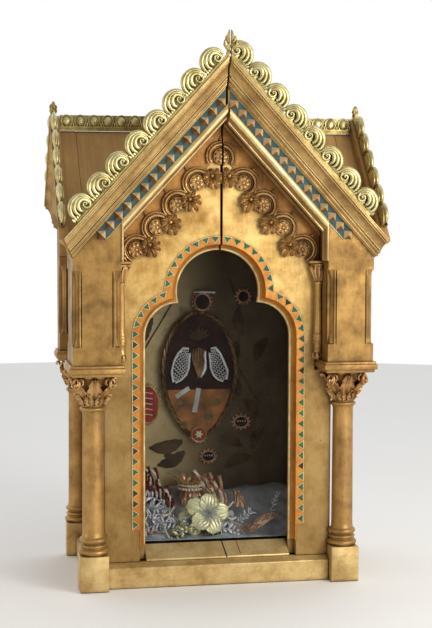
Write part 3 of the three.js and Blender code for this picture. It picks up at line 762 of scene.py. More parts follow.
    def mirrored(self) -> "Stock":
        """The same shape with x turned round; its faces are put right when it is finished.

        Returns:
            The turned shape.
        """
        other = Stock()
        other.points = [Vector((-p.x, p.y, p.z)) for p in self.points]
        other.faces = [tuple(reversed(face)) for face in self.faces]
        other.marks = list(self.marks)
        return other

    def mesh(self, name: str, in_place: bool = True) -> Any:
        """Makes the mesh, in metres.

        Args:
            name: the mesh's name.
            in_place: whether it is laid into the frame, or stays about its own origin.

        Returns:
            The mesh, with its faces pointing outwards.
        """
        made = bpy.data.meshes.new(name)
        lift = SHIFT if in_place else 0.0
        made.from_pydata([(p.x * MM, (p.y + lift) * MM, p.z * MM) for p in self.points], [],
                         self.faces)
        made.polygons.foreach_set("material_index", self.marks)
        with opened(made) as work:
            bmesh.ops.remove_doubles(work, verts=work.verts, dist=1e-6)
            bmesh.ops.recalc_face_normals(work, faces=work.faces)
        return made


def show(name: str, mesh: Any, finishes: Sequence[Any], stands_for: Sequence[str] = (),
         smooth: float = 35.0, bevel: float = 0.0) -> Any:
    """Puts a finished piece in the scene.

    Args:
        name: the piece's name.
        mesh: its mesh, in metres.
        finishes: its materials, by the marks on its faces.
        stands_for: the frame's nodes that it replaces.
        smooth: the angle up to which faces are shaded as one, in degrees.
        bevel: how wide its edges are eased, in millimetres.

    Returns:
        The object.
    """
    if bevel:
        rough = in_scene(name + "_sharp", mesh)
        ease = rough.modifiers.new("Eased", "BEVEL")
        ease.width, ease.segments, ease.limit_method = bevel * MM, 2, "ANGLE"
        ease.angle_limit = EASED_FROM
        mesh = plain(rough)
    marks = [0] * len(mesh.polygons)
    if len(finishes) > 1:
        mesh.polygons.foreach_get("material_index", marks)
    mesh.materials.clear()
    for finish in finishes:
        mesh.materials.append(finish)
    mesh.polygons.foreach_set("material_index", marks)
    mesh.shade_smooth()
    mesh.set_sharp_from_angle(angle=radians(smooth))
    for face in mesh.polygons:
        face.use_smooth = face.area < BROAD
    piece = in_scene(name, mesh)
    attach(piece, "root")
    if stands_for:
        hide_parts(*stands_for)
    LOG.info("%s: %d faces", name, len(mesh.polygons))
    return piece


def eased_copy(node: str, finish: Any, bevel: float = 0.8, smooth: float = 35.0,
               settle: float = 0.0) -> Any:
    """A copy of a frame node with its edges eased, which stands for the node.

    Args:
        node: the node's name.
        finish: its material.
        bevel: how wide the edges are eased, in millimetres.
        smooth: the angle up to which faces are shaded as one, in degrees.
        settle: how far its lowest face is let down onto what it stands on.

    Returns:
        The object.
    """
    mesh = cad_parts[node].data.copy()
    with opened(mesh) as work:
        bmesh.ops.remove_doubles(work, verts=work.verts, dist=WELD)
        bmesh.ops.dissolve_limit(work, angle_limit=FLAT_WITHIN, verts=work.verts, edges=work.edges)
        lowest = min(v.co.z for v in work.verts)
        for corner in work.verts:
            if settle and corner.co.z < lowest + 1e-4:
                corner.co.z -= settle * MM
    return show(f"{node}_dressed", mesh, [finish], [node], smooth, bevel)


def roofed(piece: Any, finish: Any) -> None:
    """Gives the top of a side cornice, which lies along the roof, the roof's finish.

    Args:
        piece: the cornice.
        finish: the roof's material.
    """
    piece.data.materials.append(finish)
    for face in piece.data.polygons:
        if face.normal.z > 0.5 and abs(face.normal.x) < 0.1:
            face.material_index = 1


def sliced(mesh: Any, cuts: Sequence[tuple[Sequence[float], Sequence[float]]]) -> Any:
    """Cuts a mesh off at planes and closes the cuts.

    Args:
        mesh: the mesh, already in its place.
        cuts: for each plane a point on it, in the drawing's millimetres, and the way that goes.

    Returns:
        The same mesh.
    """
    with opened(mesh) as work:
        for at, away in cuts:
            found = bmesh.ops.bisect_plane(
                work, geom=work.verts[:] + work.edges[:] + work.faces[:], dist=1e-6,
                plane_co=Vector((at[0], at[1] + SHIFT, at[2])) * MM, plane_no=away,
                clear_outer=True)
            edges = [g for g in found["geom_cut"] if isinstance(g, bmesh.types.BMEdge)]
            bmesh.ops.holes_fill(work, edges=edges)
        bmesh.ops.recalc_face_normals(work, faces=work.faces)
    return mesh


def corners() -> Iterator[tuple[str, int, int]]:
    """The four corners: the end of their nodes' names, and the signs of x and y there."""
    for end, sy in (("front", -1), ("rear", 1)):
        for side in Side:
            yield f"{end}_{side.word}", side.value, sy


def show_corner(name: str, stock: Stock, finish: Any, work: str, smooth: float = 35.0) -> None:
    """Shows what stands at a corner; a rear piece is cut off flat at the shrine's back.

    Args:
        name: the frame's node that it replaces.
        stock: its shape.
        finish: its material.
        work: how it was made, for its name.
        smooth: the angle up to which faces are shaded as one, in degrees.
    """
    mesh = stock.mesh(name)
    if "_rear_" in name:
        sliced(mesh, [((0, BACK, 0), (0, 1, 0))])
    show(f"{name}_{work}", mesh, [finish], [name], smooth)


# ------------------------------------------------------------------ setting out repeated work


@dataclass(frozen=True)
class Place:
    """Where one repeat goes: its point, its turn, and its size along each axis."""

    at: tuple[float, float, float]
    turn: Matrix = Matrix.Identity(3)
    size: tuple[float, float, float] = (1.0, 1.0, 1.0)


def set_out_tree() -> Any:
    """The Geometry Nodes tree that sets a unit on each place, with its turn and size.

    Returns:
        The tree, with inputs Places, Unit, Scale, Unevenness, Seed and Finish.
    """
    tree = bpy.data.node_groups.new("Set_Out_Repeats", "GeometryNodeTree")
    face = tree.interface
    for name, kind in (("Places", "Geometry"), ("Unit", "Object"), ("Scale", "Float"),
                       ("Unevenness", "Float"), ("Seed", "Int"), ("Finish", "Material")):
        face.new_socket(name, in_out="INPUT", socket_type="NodeSocket" + kind)
    face.new_socket("Pieces", in_out="OUTPUT", socket_type="NodeSocketGeometry")
    add = partial(add_node, tree)
    enter = add("NodeGroupInput").node.outputs
    points = add("GeometryNodeMeshToPoints", {0: enter["Places"]})
    turn, size = (add("GeometryNodeInputNamedAttribute", {"Name": word}, data_type="FLOAT_VECTOR")
                  for word in ("turn", "size"))
    chance = add("FunctionNodeRandomValue", {0: (-1.0, -1.0, -1.0), 1: (1.0, 1.0, 1.0),
                                             "Seed": enter["Seed"]}, data_type="FLOAT_VECTOR")
    stray = add("ShaderNodeVectorMath", {0: chance, "Scale": enter["Unevenness"]},
                operation="SCALE")
    angle = add("ShaderNodeVectorMath", {0: turn, 1: stray}, operation="ADD")
    spin = add("FunctionNodeEulerToRotation", {0: angle})
    grown = add("ShaderNodeVectorMath", {0: size, "Scale": enter["Scale"]}, operation="SCALE")
    unit = add("GeometryNodeObjectInfo", {"Object": enter["Unit"]}, "Geometry")
    laid = add("GeometryNodeInstanceOnPoints",
               {"Points": points, "Instance": unit, "Rotation": spin, "Scale": grown})
    real = add("GeometryNodeRealizeInstances", {0: laid})
    dressed = add("GeometryNodeSetMaterial", {"Geometry": real, "Material": enter["Finish"]})
    add("NodeGroupOutput", {0: dressed})
    return tree


class Setter:
    """Sets repeated units out along the shrine and turns them into plain meshes."""

    def __init__(self) -> None:
        """Makes the tree once."""
        self.tree = set_out_tree()

    def mesh(self, name: str, unit: Stock, places: Sequence[Place], finish: Any,
             unevenness: float = 0.0, seed: int = 1) -> Any:
        """Repeats a unit at every place.

        Args:
            name: the mesh's name.
            unit: the shape, about its own origin.
            places: where each repeat goes.
            finish: the material.
            unevenness: how far each repeat may be turned off true, in radians.
            seed: the seed of that turning.

        Returns:
            One plain mesh in the frame, in metres.
        """
        shape = in_scene(name + "_unit", unit.mesh(name + "_unit", in_place=False))
        dots = bpy.data.meshes.new(name)
        dots.from_pydata([(p.at[0] * MM, (p.at[1] + SHIFT) * MM, p.at[2] * MM) for p in places],
                         [], [])
        turns = dots.attributes.new("turn", "FLOAT_VECTOR", "POINT")
        turns.data.foreach_set("vector", [a for p in places for a in p.turn.to_euler("XYZ")])
        sizes = dots.attributes.new("size", "FLOAT_VECTOR", "POINT")
        sizes.data.foreach_set("vector", [s for p in places for s in p.size])
        holder = in_scene(name + "_places", dots)
        work = holder.modifiers.new("SetOut", "NODES")
        work.node_group = self.tree
        values = {"Unit": shape, "Scale": 1.0, "Unevenness": unevenness, "Seed": seed,
                  "Finish": finish}
        for item in self.tree.interface.items_tree:
            if item.in_out == "INPUT" and item.name in values:
                work[item.identifier] = values[item.name]
        mesh = plain(holder)
        bpy.data.objects.remove(shape)
        with opened(mesh) as tidy:
            bmesh.ops.recalc_face_normals(tidy, faces=tidy.faces)
        for spare in [a.name for a in mesh.attributes if a.name in ("turn", "size")]:
            mesh.attributes.remove(mesh.attributes[spare])
        return mesh


def joined(name: str, parts: Sequence[tuple[Any, int]]) -> Any:
    """Joins meshes into one.

    Args:
        name: the new mesh's name.
        parts: each mesh with the number of its finish, or -1 where it keeps its own.

    Returns:
        The mesh.
    """
    work = bmesh.new()
    for mesh, mark in parts:
        first = len(work.faces)
        work.from_mesh(mesh)
        work.faces.ensure_lookup_table()
        for face in work.faces[first:]:
            face.material_index = mark if mark >= 0 else face.material_index
    made = bpy.data.meshes.new(name)
    work.to_mesh(made)
    work.free()
    return made


# ------------------------------------------------------------------ lines of the shrine


@dataclass(frozen=True)
class Pitch:
    """A roof line: its height falls evenly with the distance from the middle."""

    apex: float
    slope: float

    def z(self, distance: float) -> float:
        """The line's height at a distance."""
        return self.apex - self.slope * distance

    @property
    def rise(self) -> float:
        """Length along the line for each unit of distance."""
        return hypot(1, self.slope)

    def lifted(self, height: float) -> "Pitch":
        """The line that lies a height square above this one."""
        return Pitch(self.apex + height * self.rise, self.slope)


FRONT_PITCH = Pitch(766.0, 1.1057)
SIDE_PITCH = Pitch(685.2, 1.067)
BAND_PITCH = Pitch(737.0, 1.088)
INNER_PITCH = Pitch(722.0, 1.088)
CROSS_RIDGE = -6.0
FRONT_FACE, GABLE_FACE = -114.5, -170.0
COLUMN_X, COLUMN_Y = 197.0, 122.0
JOINT_LEFT, JOINT_RIGHT = 1.4, 4.6


def arc(cx: float, cz: float, r: float, start: float, end: float, steps: int) -> list[Point]:
    """Points of an arc between two angles in degrees."""
    turns = [radians(start + (end - start) * i / steps) for i in range(steps + 1)]
    return [(cx + r * cos(a), cz + r * sin(a)) for a in turns]


@dataclass(frozen=True)
class Trefoil:
    """The outline of the opening: two lower lobes and one upper lobe over straight jambs."""

    jamb: float = 114.0
    lobe: tuple[float, float, float] = (62.0, 386.5, 52.0)
    head: tuple[float, float] = (456.0, 64.3)

    def half(self, grow: float, foot: float, crown_x: float = 0.0) -> list[Point]:
        """The right half from the foot of the jamb to the crown, grown outwards.

        Args:
            grow: how far out from the opening's edge.
            foot: height of the first point.
            crown_x: where the half ends at the crown.

        Returns:
            Points in x and z, always equally many.
        """
        lx, lz, lr = self.lobe
        hz, hr = self.head
        r1, r2 = lr + grow, hr + grow
        dz = lz - hz
        d = hypot(lx, dz)
        along = (r2 * r2 - r1 * r1 + d * d) / (2 * d)
        across = sqrt(max(0.0, r2 * r2 - along * along))
        cx = (lx * along - dz * across) / d
        cz = hz + (dz * along + lx * across) / d
        low = degrees(atan2(cz - lz, cx - lx))
        high = degrees(atan2(cz - hz, cx))
        path = [(self.jamb + grow, foot)]
        path += arc(lx, lz, r1, 0, low, 12)
        path += arc(0, hz, r2, high, 90, 18)[1:]
        return [(max(x, crown_x) if crown_x > 0 else x, z) for x, z in path[:-1]] + [
            (crown_x, path[-1][1])]


def walk(path: Sequence[Point], pitch: float, start: float = 0.0) -> list[tuple[Point, Point]]:
    """Steps evenly along a path.

    Args:
        path: its points.
        pitch: the distance between steps, eased so that the last step ends half a pitch short.
        start: where the first step stands.

    Returns:
        Each step's point and direction.
    """
    legs = [dist(a, b) for a, b in zip(path, path[1:])]
    total = sum(legs) - start
    count = max(1, round(total / pitch))
    even = total / count
    found = []
    for i in range(count):
        want = start + (i + 0.5) * even
        for (a, b), leg in zip(zip(path, path[1:]), legs):
            if want <= leg:
                t = want / leg
                found.append(((a[0] + (b[0] - a[0]) * t, a[1] + (b[1] - a[1]) * t),
                              ((b[0] - a[0]) / leg, (b[1] - a[1]) / leg)))
                break
            want -= leg
    return found


# ------------------------------------------------------------------ sub-assemblies


@dataclass
class Joinery:
    """The flat boards and members, copied from the frame with eased edges."""

    finishes: Finishes
    ease: float = 0.9

    def build(self) -> None:
        """Dresses each board."""
        f = self.finishes
        for side in Side:
            s = side.word
            eased_copy(f"front_board_{s}", f.front, self.ease)
            eased_copy(f"front_gable_{s}", f.pier, 0.25, settle=0.35)
            eased_copy(f"side_board_{s}", f.side_wood, self.ease)
            eased_copy(f"side_gable_{s}", f.side_wood, self.ease)
            eased_copy(f"front_cornice_{s}", f.rake, 0.5)
            eased_copy(f"roof_{s}", f.roof_wood, self.ease)
            for end in ("front", "rear"):
                roofed(eased_copy(f"side_cornice_{end}_{s}", f.rake, 0.5), f.roof_wood)
                eased_copy(f"impost_{end}_{s}", f.member, 1.2)
                eased_copy(f"plinth_block_{end}_{s}", f.plinth, 1.1)
            eased_copy(f"plinth_rail_{s}", f.plinth, self.ease)
        eased_copy("plinth_rail_front", f.plinth, self.ease)
        eased_copy("plinth_rail_back", f.back_wood, self.ease)
        eased_copy("back_board", f.back_wood, self.ease)
        eased_copy("floor_board", f.inner_wood, 0.5)
        eased_copy("ceiling_board", f.inner_wood, 0.5)
        eased_copy("relic_board", f.silk, 0.8)
        # The sill takes the pale gold that paints highlights.
        eased_copy("sill", f.arris, 0.8)
        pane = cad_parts["glass_pane"]
        pane.data.materials.clear()
        pane.data.materials.append(f.glass)

    def cracks(self) -> None:
        """Lays the two cracks in the sill."""
        f = self.finishes
        stock = Stock()
        brink, slope = 41.0, 30.0 / 18
        for top, foot, wide in (((10.0, 59.2), (13.5, 39.5), 1.0),
                                ((33.0, 59.2), (36.0, 44.0), 0.5)):
            rows = []
            for z in (top[1], max(foot[1], brink), foot[1] - 0.1):
                x = top[0] + (foot[0] - top[0]) * (top[1] - z) / (top[1] - foot[1])
                y = FRONT_FACE + slope * max(0.0, z - brink)
                rows.append([(x - wide, y - 0.5, z), (x + wide, y - 0.5, z),
                             (x + wide, y + 2, z - 0.6), (x - wide, y + 2, z - 0.6)])
            stock.loft(rows)
        show("sill_cracks", stock.mesh("sill_cracks"), [f.gap])


@dataclass
class Columns:
    """Four turned columns with double-torus feet and a ring under each capital."""

    finishes: Finishes
    bottom: float = 55.3
    top: float = 285.5
    radius: float = 16.5

    def profile(self) -> list[Point]:
        """Radius and height from the foot to the neck.

        Returns:
            The points of the profile.
        """
        z, r = self.bottom, self.radius
        return [
            (0.0, z), (21.4, z), (21.8, z + 0.6), *arc(19.2, z + 5.0, 4.1, -65, 65, 7),
            (19.4, z + 9.6), (18.6, z + 10.4), (18.6, z + 11.2),
            *arc(18.0, z + 14.0, 2.6, -80, 80, 5),
            (18.0, z + 17.0), (17.3, z + 18.0), (17.6, z + 19.2),
            *arc(17.6, z + 23.0, 3.9, -75, 75, 7),
            (17.9, z + 27.4), (17.9, z + 28.6), (17.1, z + 30.4), (r + 0.3, z + 36.0),
            (r, z + 90.0), (r - 0.3, z + 170.0), (r - 0.6, self.top - 14.0),
            (r - 0.2, self.top - 10.6), (r + 0.6, self.top - 9.8), (r + 0.6, self.top - 8.8),
            *arc(17.0, self.top - 5.2, 3.2, -80, 80, 6),
            (16.8, self.top - 1.4), (16.8, self.top), (0.0, self.top)]

    def build(self) -> None:
        """Turns each column."""
        for corner, sx, sy in corners():
            stock = Stock()
            stock.turned(self.profile(), sx * COLUMN_X, sy * COLUMN_Y, 48)
            show_corner(f"column_{corner}", stock, self.finishes.member, "turned")


@dataclass
class Capitals:
    """Leaf capitals: a bell, a lower wreath, face leaves, and curled corner leaves."""

    finishes: Finishes
    bottom: float = 286.0
    top: float = 332.7
    neck: float = 16.4

    def leaf_round(self, stock: Stock, angle: float, start: float, height: float, reach: float,
                   half: float, curl: float, foot: float = 0.0) -> None:
        """One leaf that climbs the bell, leans out and curls over.

        Args:
            stock: the piece it is added to.
            angle: which way it faces, in degrees.
            start: height of its stalk over the bell's foot.
            height: how far up it climbs.
            reach: how far from the axis its curl stands.
            half: its half width.
            curl: the radius of the curl.
            foot: how far its stalk stands off the bell.
        """
        out, over = level(radians(angle))
        spine, widths = [], []
        for t in shares(9):
            r = self.neck + foot + (reach - curl - self.neck - foot) * t ** 2.3
            spine.append(out * r + UP * (start + (height - curl) * t))
            lobes = 1 + 0.16 * cos(2 * pi * 3.2 * t + 0.6)
            widths.append(half * (0.5 + 0.55 * sin(pi * (0.12 + 0.78 * t))) * lobes)
        centre, tip = spine[-1] + out * curl, widths[-1]
        for i in range(1, 8):
            b = radians(180 - 38 * i)
            spine.append(centre + (out * cos(b) + UP * sin(b)) * curl * (1 - 0.085 * i))
            widths.append(tip * (1 - 0.1 * i))
        stock.leaf(spine, over, widths, cup=0.3, ribs=2.5, rib=0.9, thick=1.5, across=10)

    def carved(self) -> Stock:
        """The whole capital about its own axis, with its foot at height 0.

        Returns:
            The shape.
        """
        h = self.top - self.bottom
        stock = Stock()
        stock.turned([(0.0, 0.0), (self.neck, 0.0), (self.neck - 0.6, 3.0), (self.neck, 14.0),
                      (19.0, 26.0), (23.5, 36.0), (28.0, h - 5.0), (29.5, h - 3.5), (29.5, h),
                      (0.0, h)], sides=40)
        for k in range(8):
            self.leaf_round(stock, 22.5 + 45 * k, 0.5, 18.0, 26.5, 8.2, 3.8)
        for k in range(4):
            self.leaf_round(stock, 90 * k, 5.0, 38.0, 34.0, 10.4, 4.6, 1.5)
            self.leaf_round(stock, 45 + 90 * k, 3.0, 34.0, 40.0, 11.4, 5.4, 1.5)
        for k in range(4):
            a = radians(45 + 90 * k)
            middle = Vector((35.0 * cos(a), 35.0 * sin(a), h - 11.0))
            for turn in (-1, 1):
                flat, path = level(a + turn)[0], []
                for t in shares(18):
                    b = radians(-70 + 430 * t)
                    r = 8.6 * (1 - t) ** 0.75 + 0.6
                    path.append(middle + flat * (r * cos(b) - 2.5) + UP * (r * sin(b)))
                stock.tube(path, [3.0 - 1.3 * t for t in shares(18)], 8)
        return stock

    def build(self) -> None:
        """Places the four capitals."""
        unit = self.carved()
        for corner, sx, sy in corners():
            stock = Stock()
            stock.join(unit, Matrix.Translation((sx * COLUMN_X, sy * COLUMN_Y, self.bottom)))
            show_corner(f"capital_{corner}", stock, self.finishes.carving, "carved", 50.0)


@dataclass
class Piers:
    """Upper corner piers with moulded chamfers that stop short of both ends."""

    finishes: Finishes
    inner: float = 159.0
    outer: float = 231.0
    front: float = -170.0
    rear: float = -74.0
    moulding: tuple[Point, ...] = (
        (13.5, 0.0), (13.5, 3.6), (11.9, 3.6), (11.9, 1.2), (10.4, 0.7), (9.4, 1.5), (9.2, 4.6),
        (7.2, 5.4), (5.4, 7.2), (4.6, 9.2), (1.5, 9.4), (0.7, 10.4), (1.2, 11.9), (3.6, 11.9),
        (3.6, 13.5), (0.0, 13.5))
    levels: tuple[Point, ...] = (
        (350.3, 0.0), (374.0, 0.0), (377.0, 0.0), (379.0, 0.55), (393.0, 1.0), (474.0, 1.0),
        (481.0, 0.86), (486.5, 0.6), (490.0, 0.28), (492.0, 0.0), (505.0, 0.0))

    def ring(self, z: float, share: float) -> list[tuple[float, float, float]]:
        """The pier's outline at a height.

        Args:
            z: the height.
            share: how far the moulding is cut in there.

        Returns:
            The points of the outline.
        """
        points = []
        for x, y, sx, sy in ((self.outer, self.front, -1, 1), (self.outer, self.rear, -1, -1),
                             (self.inner, self.rear, 1, -1), (self.inner, self.front, 1, 1)):
            if (sx, sy) == (1, -1):
                points.append((x, y, z))
                continue
            cut = [((u * (abs(u - v) > 3), 0.0) if u >= v else (0.0, v * (abs(u - v) > 3)), (u, v))
                   for u, v in self.moulding]
            placed = [(x + sx * (a[0] + (b[0] - a[0]) * share),
                       y + sy * (a[1] + (b[1] - a[1]) * share), z) for a, b in cut]
            points += placed if (sx, sy) == (-1, 1) else placed[::-1]
        return points

    def build(self) -> None:
        """Lofts each pier; the rear ones are the front ones turned round."""
        for corner, sx, sy in corners():
            stock = Stock()
            stock.loft([[(sx * x, -sy * y, z) for x, y, z in self.ring(z, s)]
                        for z, s in self.levels])
            show_corner(f"pier_{corner}", stock, self.finishes.pier, "moulded", 28.0)


@dataclass
class OpeningBorder:
    """The painted border of the trefoil: bead, orange cove, and a row of triangles."""

    finishes: Finishes
    setter: Setter
    depth: float = 14.5
    step: float = 10.0
    width: float = 22.5
    foot: float = 62.0
    border_foot: float = 88.0
    pitch: float = 16.6
    trefoil: Trefoil = field(default_factory=Trefoil)

    def run(self, stock: Stock, section: Sequence[Point], side: Side, foot: float,
            mark: int = 0) -> None:
        """Runs a moulding along half of the opening.

        Args:
            stock: the piece it is added to.
            section: how far out and how deep each point of the moulding lies.
            side: which half.
            foot: where it starts on the jamb.
            mark: the number of the finish.
        """
        lines = [self.trefoil.half(grow, foot, side.joint) for grow, _ in section]
        stock.loft([[(side.value * line[i][0], FRONT_FACE + section[k][1], line[i][1])
                     for k, line in enumerate(lines)] for i in range(len(lines[0]))], mark=mark)

    def triangle(self, base: float, height: float, proud: float) -> Stock:
        """A triangle with its base outwards, its tip towards the opening.

        Args:
            base: the length of its base.
            height: how far its tip stands from the base.
            proud: how thick it is.

        Returns:
            The shape.
        """
        stock = Stock()
        stock.loft([[(0.0, y, -base / 2 * k), (0.0, y, base / 2 * k), (-height * k, y, 0.0)]
                    for y, k in ((0.0, 1.0), (-proud * 0.7, 1.0), (-proud, 0.9))])
        return stock

    def build(self) -> None:
        """Builds both halves of the border."""
        f = self.finishes
        for side in Side:
            s = side.value
            stock = Stock()
            inner = self.step - 7.6
            cove = [(self.step + 0.4, -0.9), (self.step - 0.8, -0.9), (self.step - 1.2, 0.6)]
            cove += [(self.step - 1.2 - 5.6 * (1 - cos(radians(a))),
                      0.6 + 12.6 * sin(radians(a))) for a in range(10, 91, 10)]
            cove += [(inner, self.depth - 1.0), (inner, self.depth + 0.4),
                     (self.step + 0.4, self.depth + 0.4)]
            bead = [(1.7 + 1.7 * cos(a), self.depth - 1.2 + 1.9 * sin(a)) for a in turns(8)]
            ground = [(self.step + 0.4, -0.7), (self.step + 0.4, 0.5), (self.width, 0.5),
                      (self.width, -0.6)]
            self.run(stock, cove, side, self.foot, 0)
            self.run(stock, bead, side, self.foot, 1)
            self.run(stock, ground, side, self.border_foot, 0)
            show(f"opening_moulding_{side.word}", stock.mesh("moulding"), [f.cove, f.cream],
                 smooth=40.0)
            path = self.trefoil.half(self.width - 0.4, self.border_foot, side.joint)
            dark = {2, 3, 7, 11, 12, 17} if side is Side.LEFT else {5, 14, 21}
            rows = {"cream": [], "green": [], "black": []}
            for i, (at, along) in enumerate(walk(path, self.pitch)):
                outward = Vector((s * along[1], 0, -along[0]))
                turn = Matrix((outward, (0, 1, 0), (along[0], 0, s * along[1]))).transposed()
                inset = Vector((s * at[0], 0, at[1])) - outward * 1.35
                rows["cream"].append(Place((s * at[0], FRONT_FACE - 0.6, at[1]), turn))
                rows["black" if i in dark else "green"].append(
                    Place((inset.x, FRONT_FACE - 1.2, inset.z), turn))
            big = self.triangle(self.pitch * 0.92, 11.4, 0.7)
            small = self.triangle(self.pitch * 0.70, 8.4, 0.5)
            parts = [(self.setter.mesh(word, unit, rows[word], finish), mark)
                     for mark, (word, unit, finish) in enumerate((
                         ("cream", big, f.cream), ("green", small, f.green),
                         ("black", small, f.black)))]
            show(f"border_triangles_{side.word}", joined("triangles", parts),
                 [f.cream, f.green, f.black])


@dataclass
class GableFront:
    """What dresses the front gable: the band of pyramids and the roll along its inner edge."""

    finishes: Finishes
    setter: Setter
    pitch: float = 18.9
    far: float = 195.0
    pier_inner: float = 159.0
    pier_top: float = 505.3

    def build(self) -> None:
        """Builds both halves."""
        f = self.finishes
        middle = Pitch(FRONT_PITCH.apex / 2 + BAND_PITCH.apex / 2,
                       FRONT_PITCH.slope / 2 + BAND_PITCH.slope / 2)
        half = 9.3
        run = Vector((1, 0, -middle.slope)).normalized()
        up = Vector((middle.slope, 0, 1)).normalized()
        tail = Vector((self.far - 6, 0, middle.z(self.far - 6)))
        d, h = self.pitch / 2 * 0.95, 10.0
        unit = Stock()
        unit.loft([[(-d * k, y, 0.0), (0.0, y, d * k), (d * k, y, 0.0), (0.0, y, -d * k)]
                   for y, k in ((0.4, 1.0), (0.0, 1.0), (-h, 0.05))])
        for side in Side:
            s = side.value
            start = JOINT_RIGHT if side is Side.RIGHT else 2.2
            head = middle.z(start)
            stock = Stock()
            outline = [Vector((start, 0, head + half * middle.rise)), tail + up * half - run * 3,
                       tail + run * 8, tail - up * half - run * 3,
                       Vector((start, 0, head - half * middle.rise))]
            stock.slab([(s * p.x, p.z) for p in outline], GABLE_FACE - 0.5, GABLE_FACE + 0.5)
            for edge in (half + 0.5, -half - 0.4):
                end = tail + up * edge
                stock.tube([(s * start, GABLE_FACE - 0.7, head + edge * middle.rise),
                            (s * end.x, GABLE_FACE - 0.7, end.z)], 0.85, 8, mark=1)
            show(f"gable_band_ground_{side.word}", stock.mesh("ground"), [f.teal, f.cream])
            places = []
            for at, along in walk([(start, head), (self.far, middle.z(self.far))], self.pitch):
                way, over = Vector((s * along[0], 0, along[1])), Vector((0, 1, 0))
                turn = Matrix((way, over, way.cross(over))).transposed()
                places.append(Place((s * at[0], GABLE_FACE - 0.5, at[1]), turn))
            piece = show(f"gable_pyramids_{side.word}", self.setter.mesh(
                "pyramids", unit, places, f.pyramid, 0.015, 3 + s), [f.pyramid],
                smooth=10.0)
            # Painted shade: facets that face down, and on the left half those that face left, take
            # the brown copy.
            piece.data.materials.append(f.pyramid_shade)
            for facet in piece.data.polygons:
                nx, _, nz = facet.normal
                shaded = side is Side.LEFT and nz - nx > 0.3 and (nz < 0.3 or nx < -0.3)
                facet.material_index = int(nz < -0.3 or shaded)
            # The roll takes the pale gold that paints highlights; the ogee takes the cornice gold.
            show(f"gable_roll_{side.word}", self.roll(side).mesh("roll"), [f.arris, f.rake],
                 smooth=40.0)
            show(f"cornice_arrises_{side.word}", self.arrises(side).mesh("arrises"), [f.arris])

    def arrises(self, side: Side) -> Stock:
        """Fillets along the edges of the front cornice, in the pale gold that paints their
        highlights.

        Args:
            side: which half.

        Returns:
            The shape.
        """
        start = JOINT_RIGHT if side is Side.RIGHT else JOINT_LEFT
        stock = Stock()
        for proud, height, size in ((26.6, 29.6, 0.8), (26.6, 26.2, 0.7), (24.2, 23.7, 0.8),
                                    (12.3, 11.8, 0.9), (9.8, 11.2, 0.7), (7.2, 5.8, 0.8),
                                    (3.4, 1.6, 0.8)):
            line = FRONT_PITCH.lifted(height)
            end = 245.6 - 0.507 * (30.0 - height)
            stock.tube([(side.value * x, GABLE_FACE - proud, line.z(x)) for x in (start, end)],
                       size, 8)
        return stock

    def roll(self, side: Side) -> Stock:
        """The broad roll and the ogee under the band, mitred where they turn down to the pier.

        Args:
            side: which half.

        Returns:
            The shape.
        """
        s = side.value
        stock = Stock()
        for mark, section in (
                (0, [(1.4, -9.4), (1.2, -11.8), (-0.6, -12.8), (-3.6, -13.2), (-6.6, -12.6),
                     (-8.0, -11.0), (-8.2, -8.0), (1.4, -8.0)]),
                (1, [(-7.6, -9.6), (-9.0, -7.2), (-9.4, -3.6), (-10.4, -1.4), (-12.0, 0.0),
                     (-12.4, 9.0), (1.2, 9.0), (1.2, -9.6)]),
                (0, [(-12.0, -0.8), (-13.4, -0.8), (-14.2, 0.6), (-14.2, 9.0), (-12.0, 9.0)])):
            top, bend = [], []
            for grow, deep in section:
                line = BAND_PITCH.lifted(grow)
                y = GABLE_FACE + 10.0 + deep
                corner_x = self.pier_inner - 0.2 + (grow - 1.4) * 0.32
                top.append((s * side.joint, y, line.z(side.joint)))
                bend.append((s * corner_x, y, line.z(corner_x)))
            foot = [(x, y, self.pier_top) for x, y, _ in bend]
            stock.loft([top, bend, foot], mark=mark)
        return stock


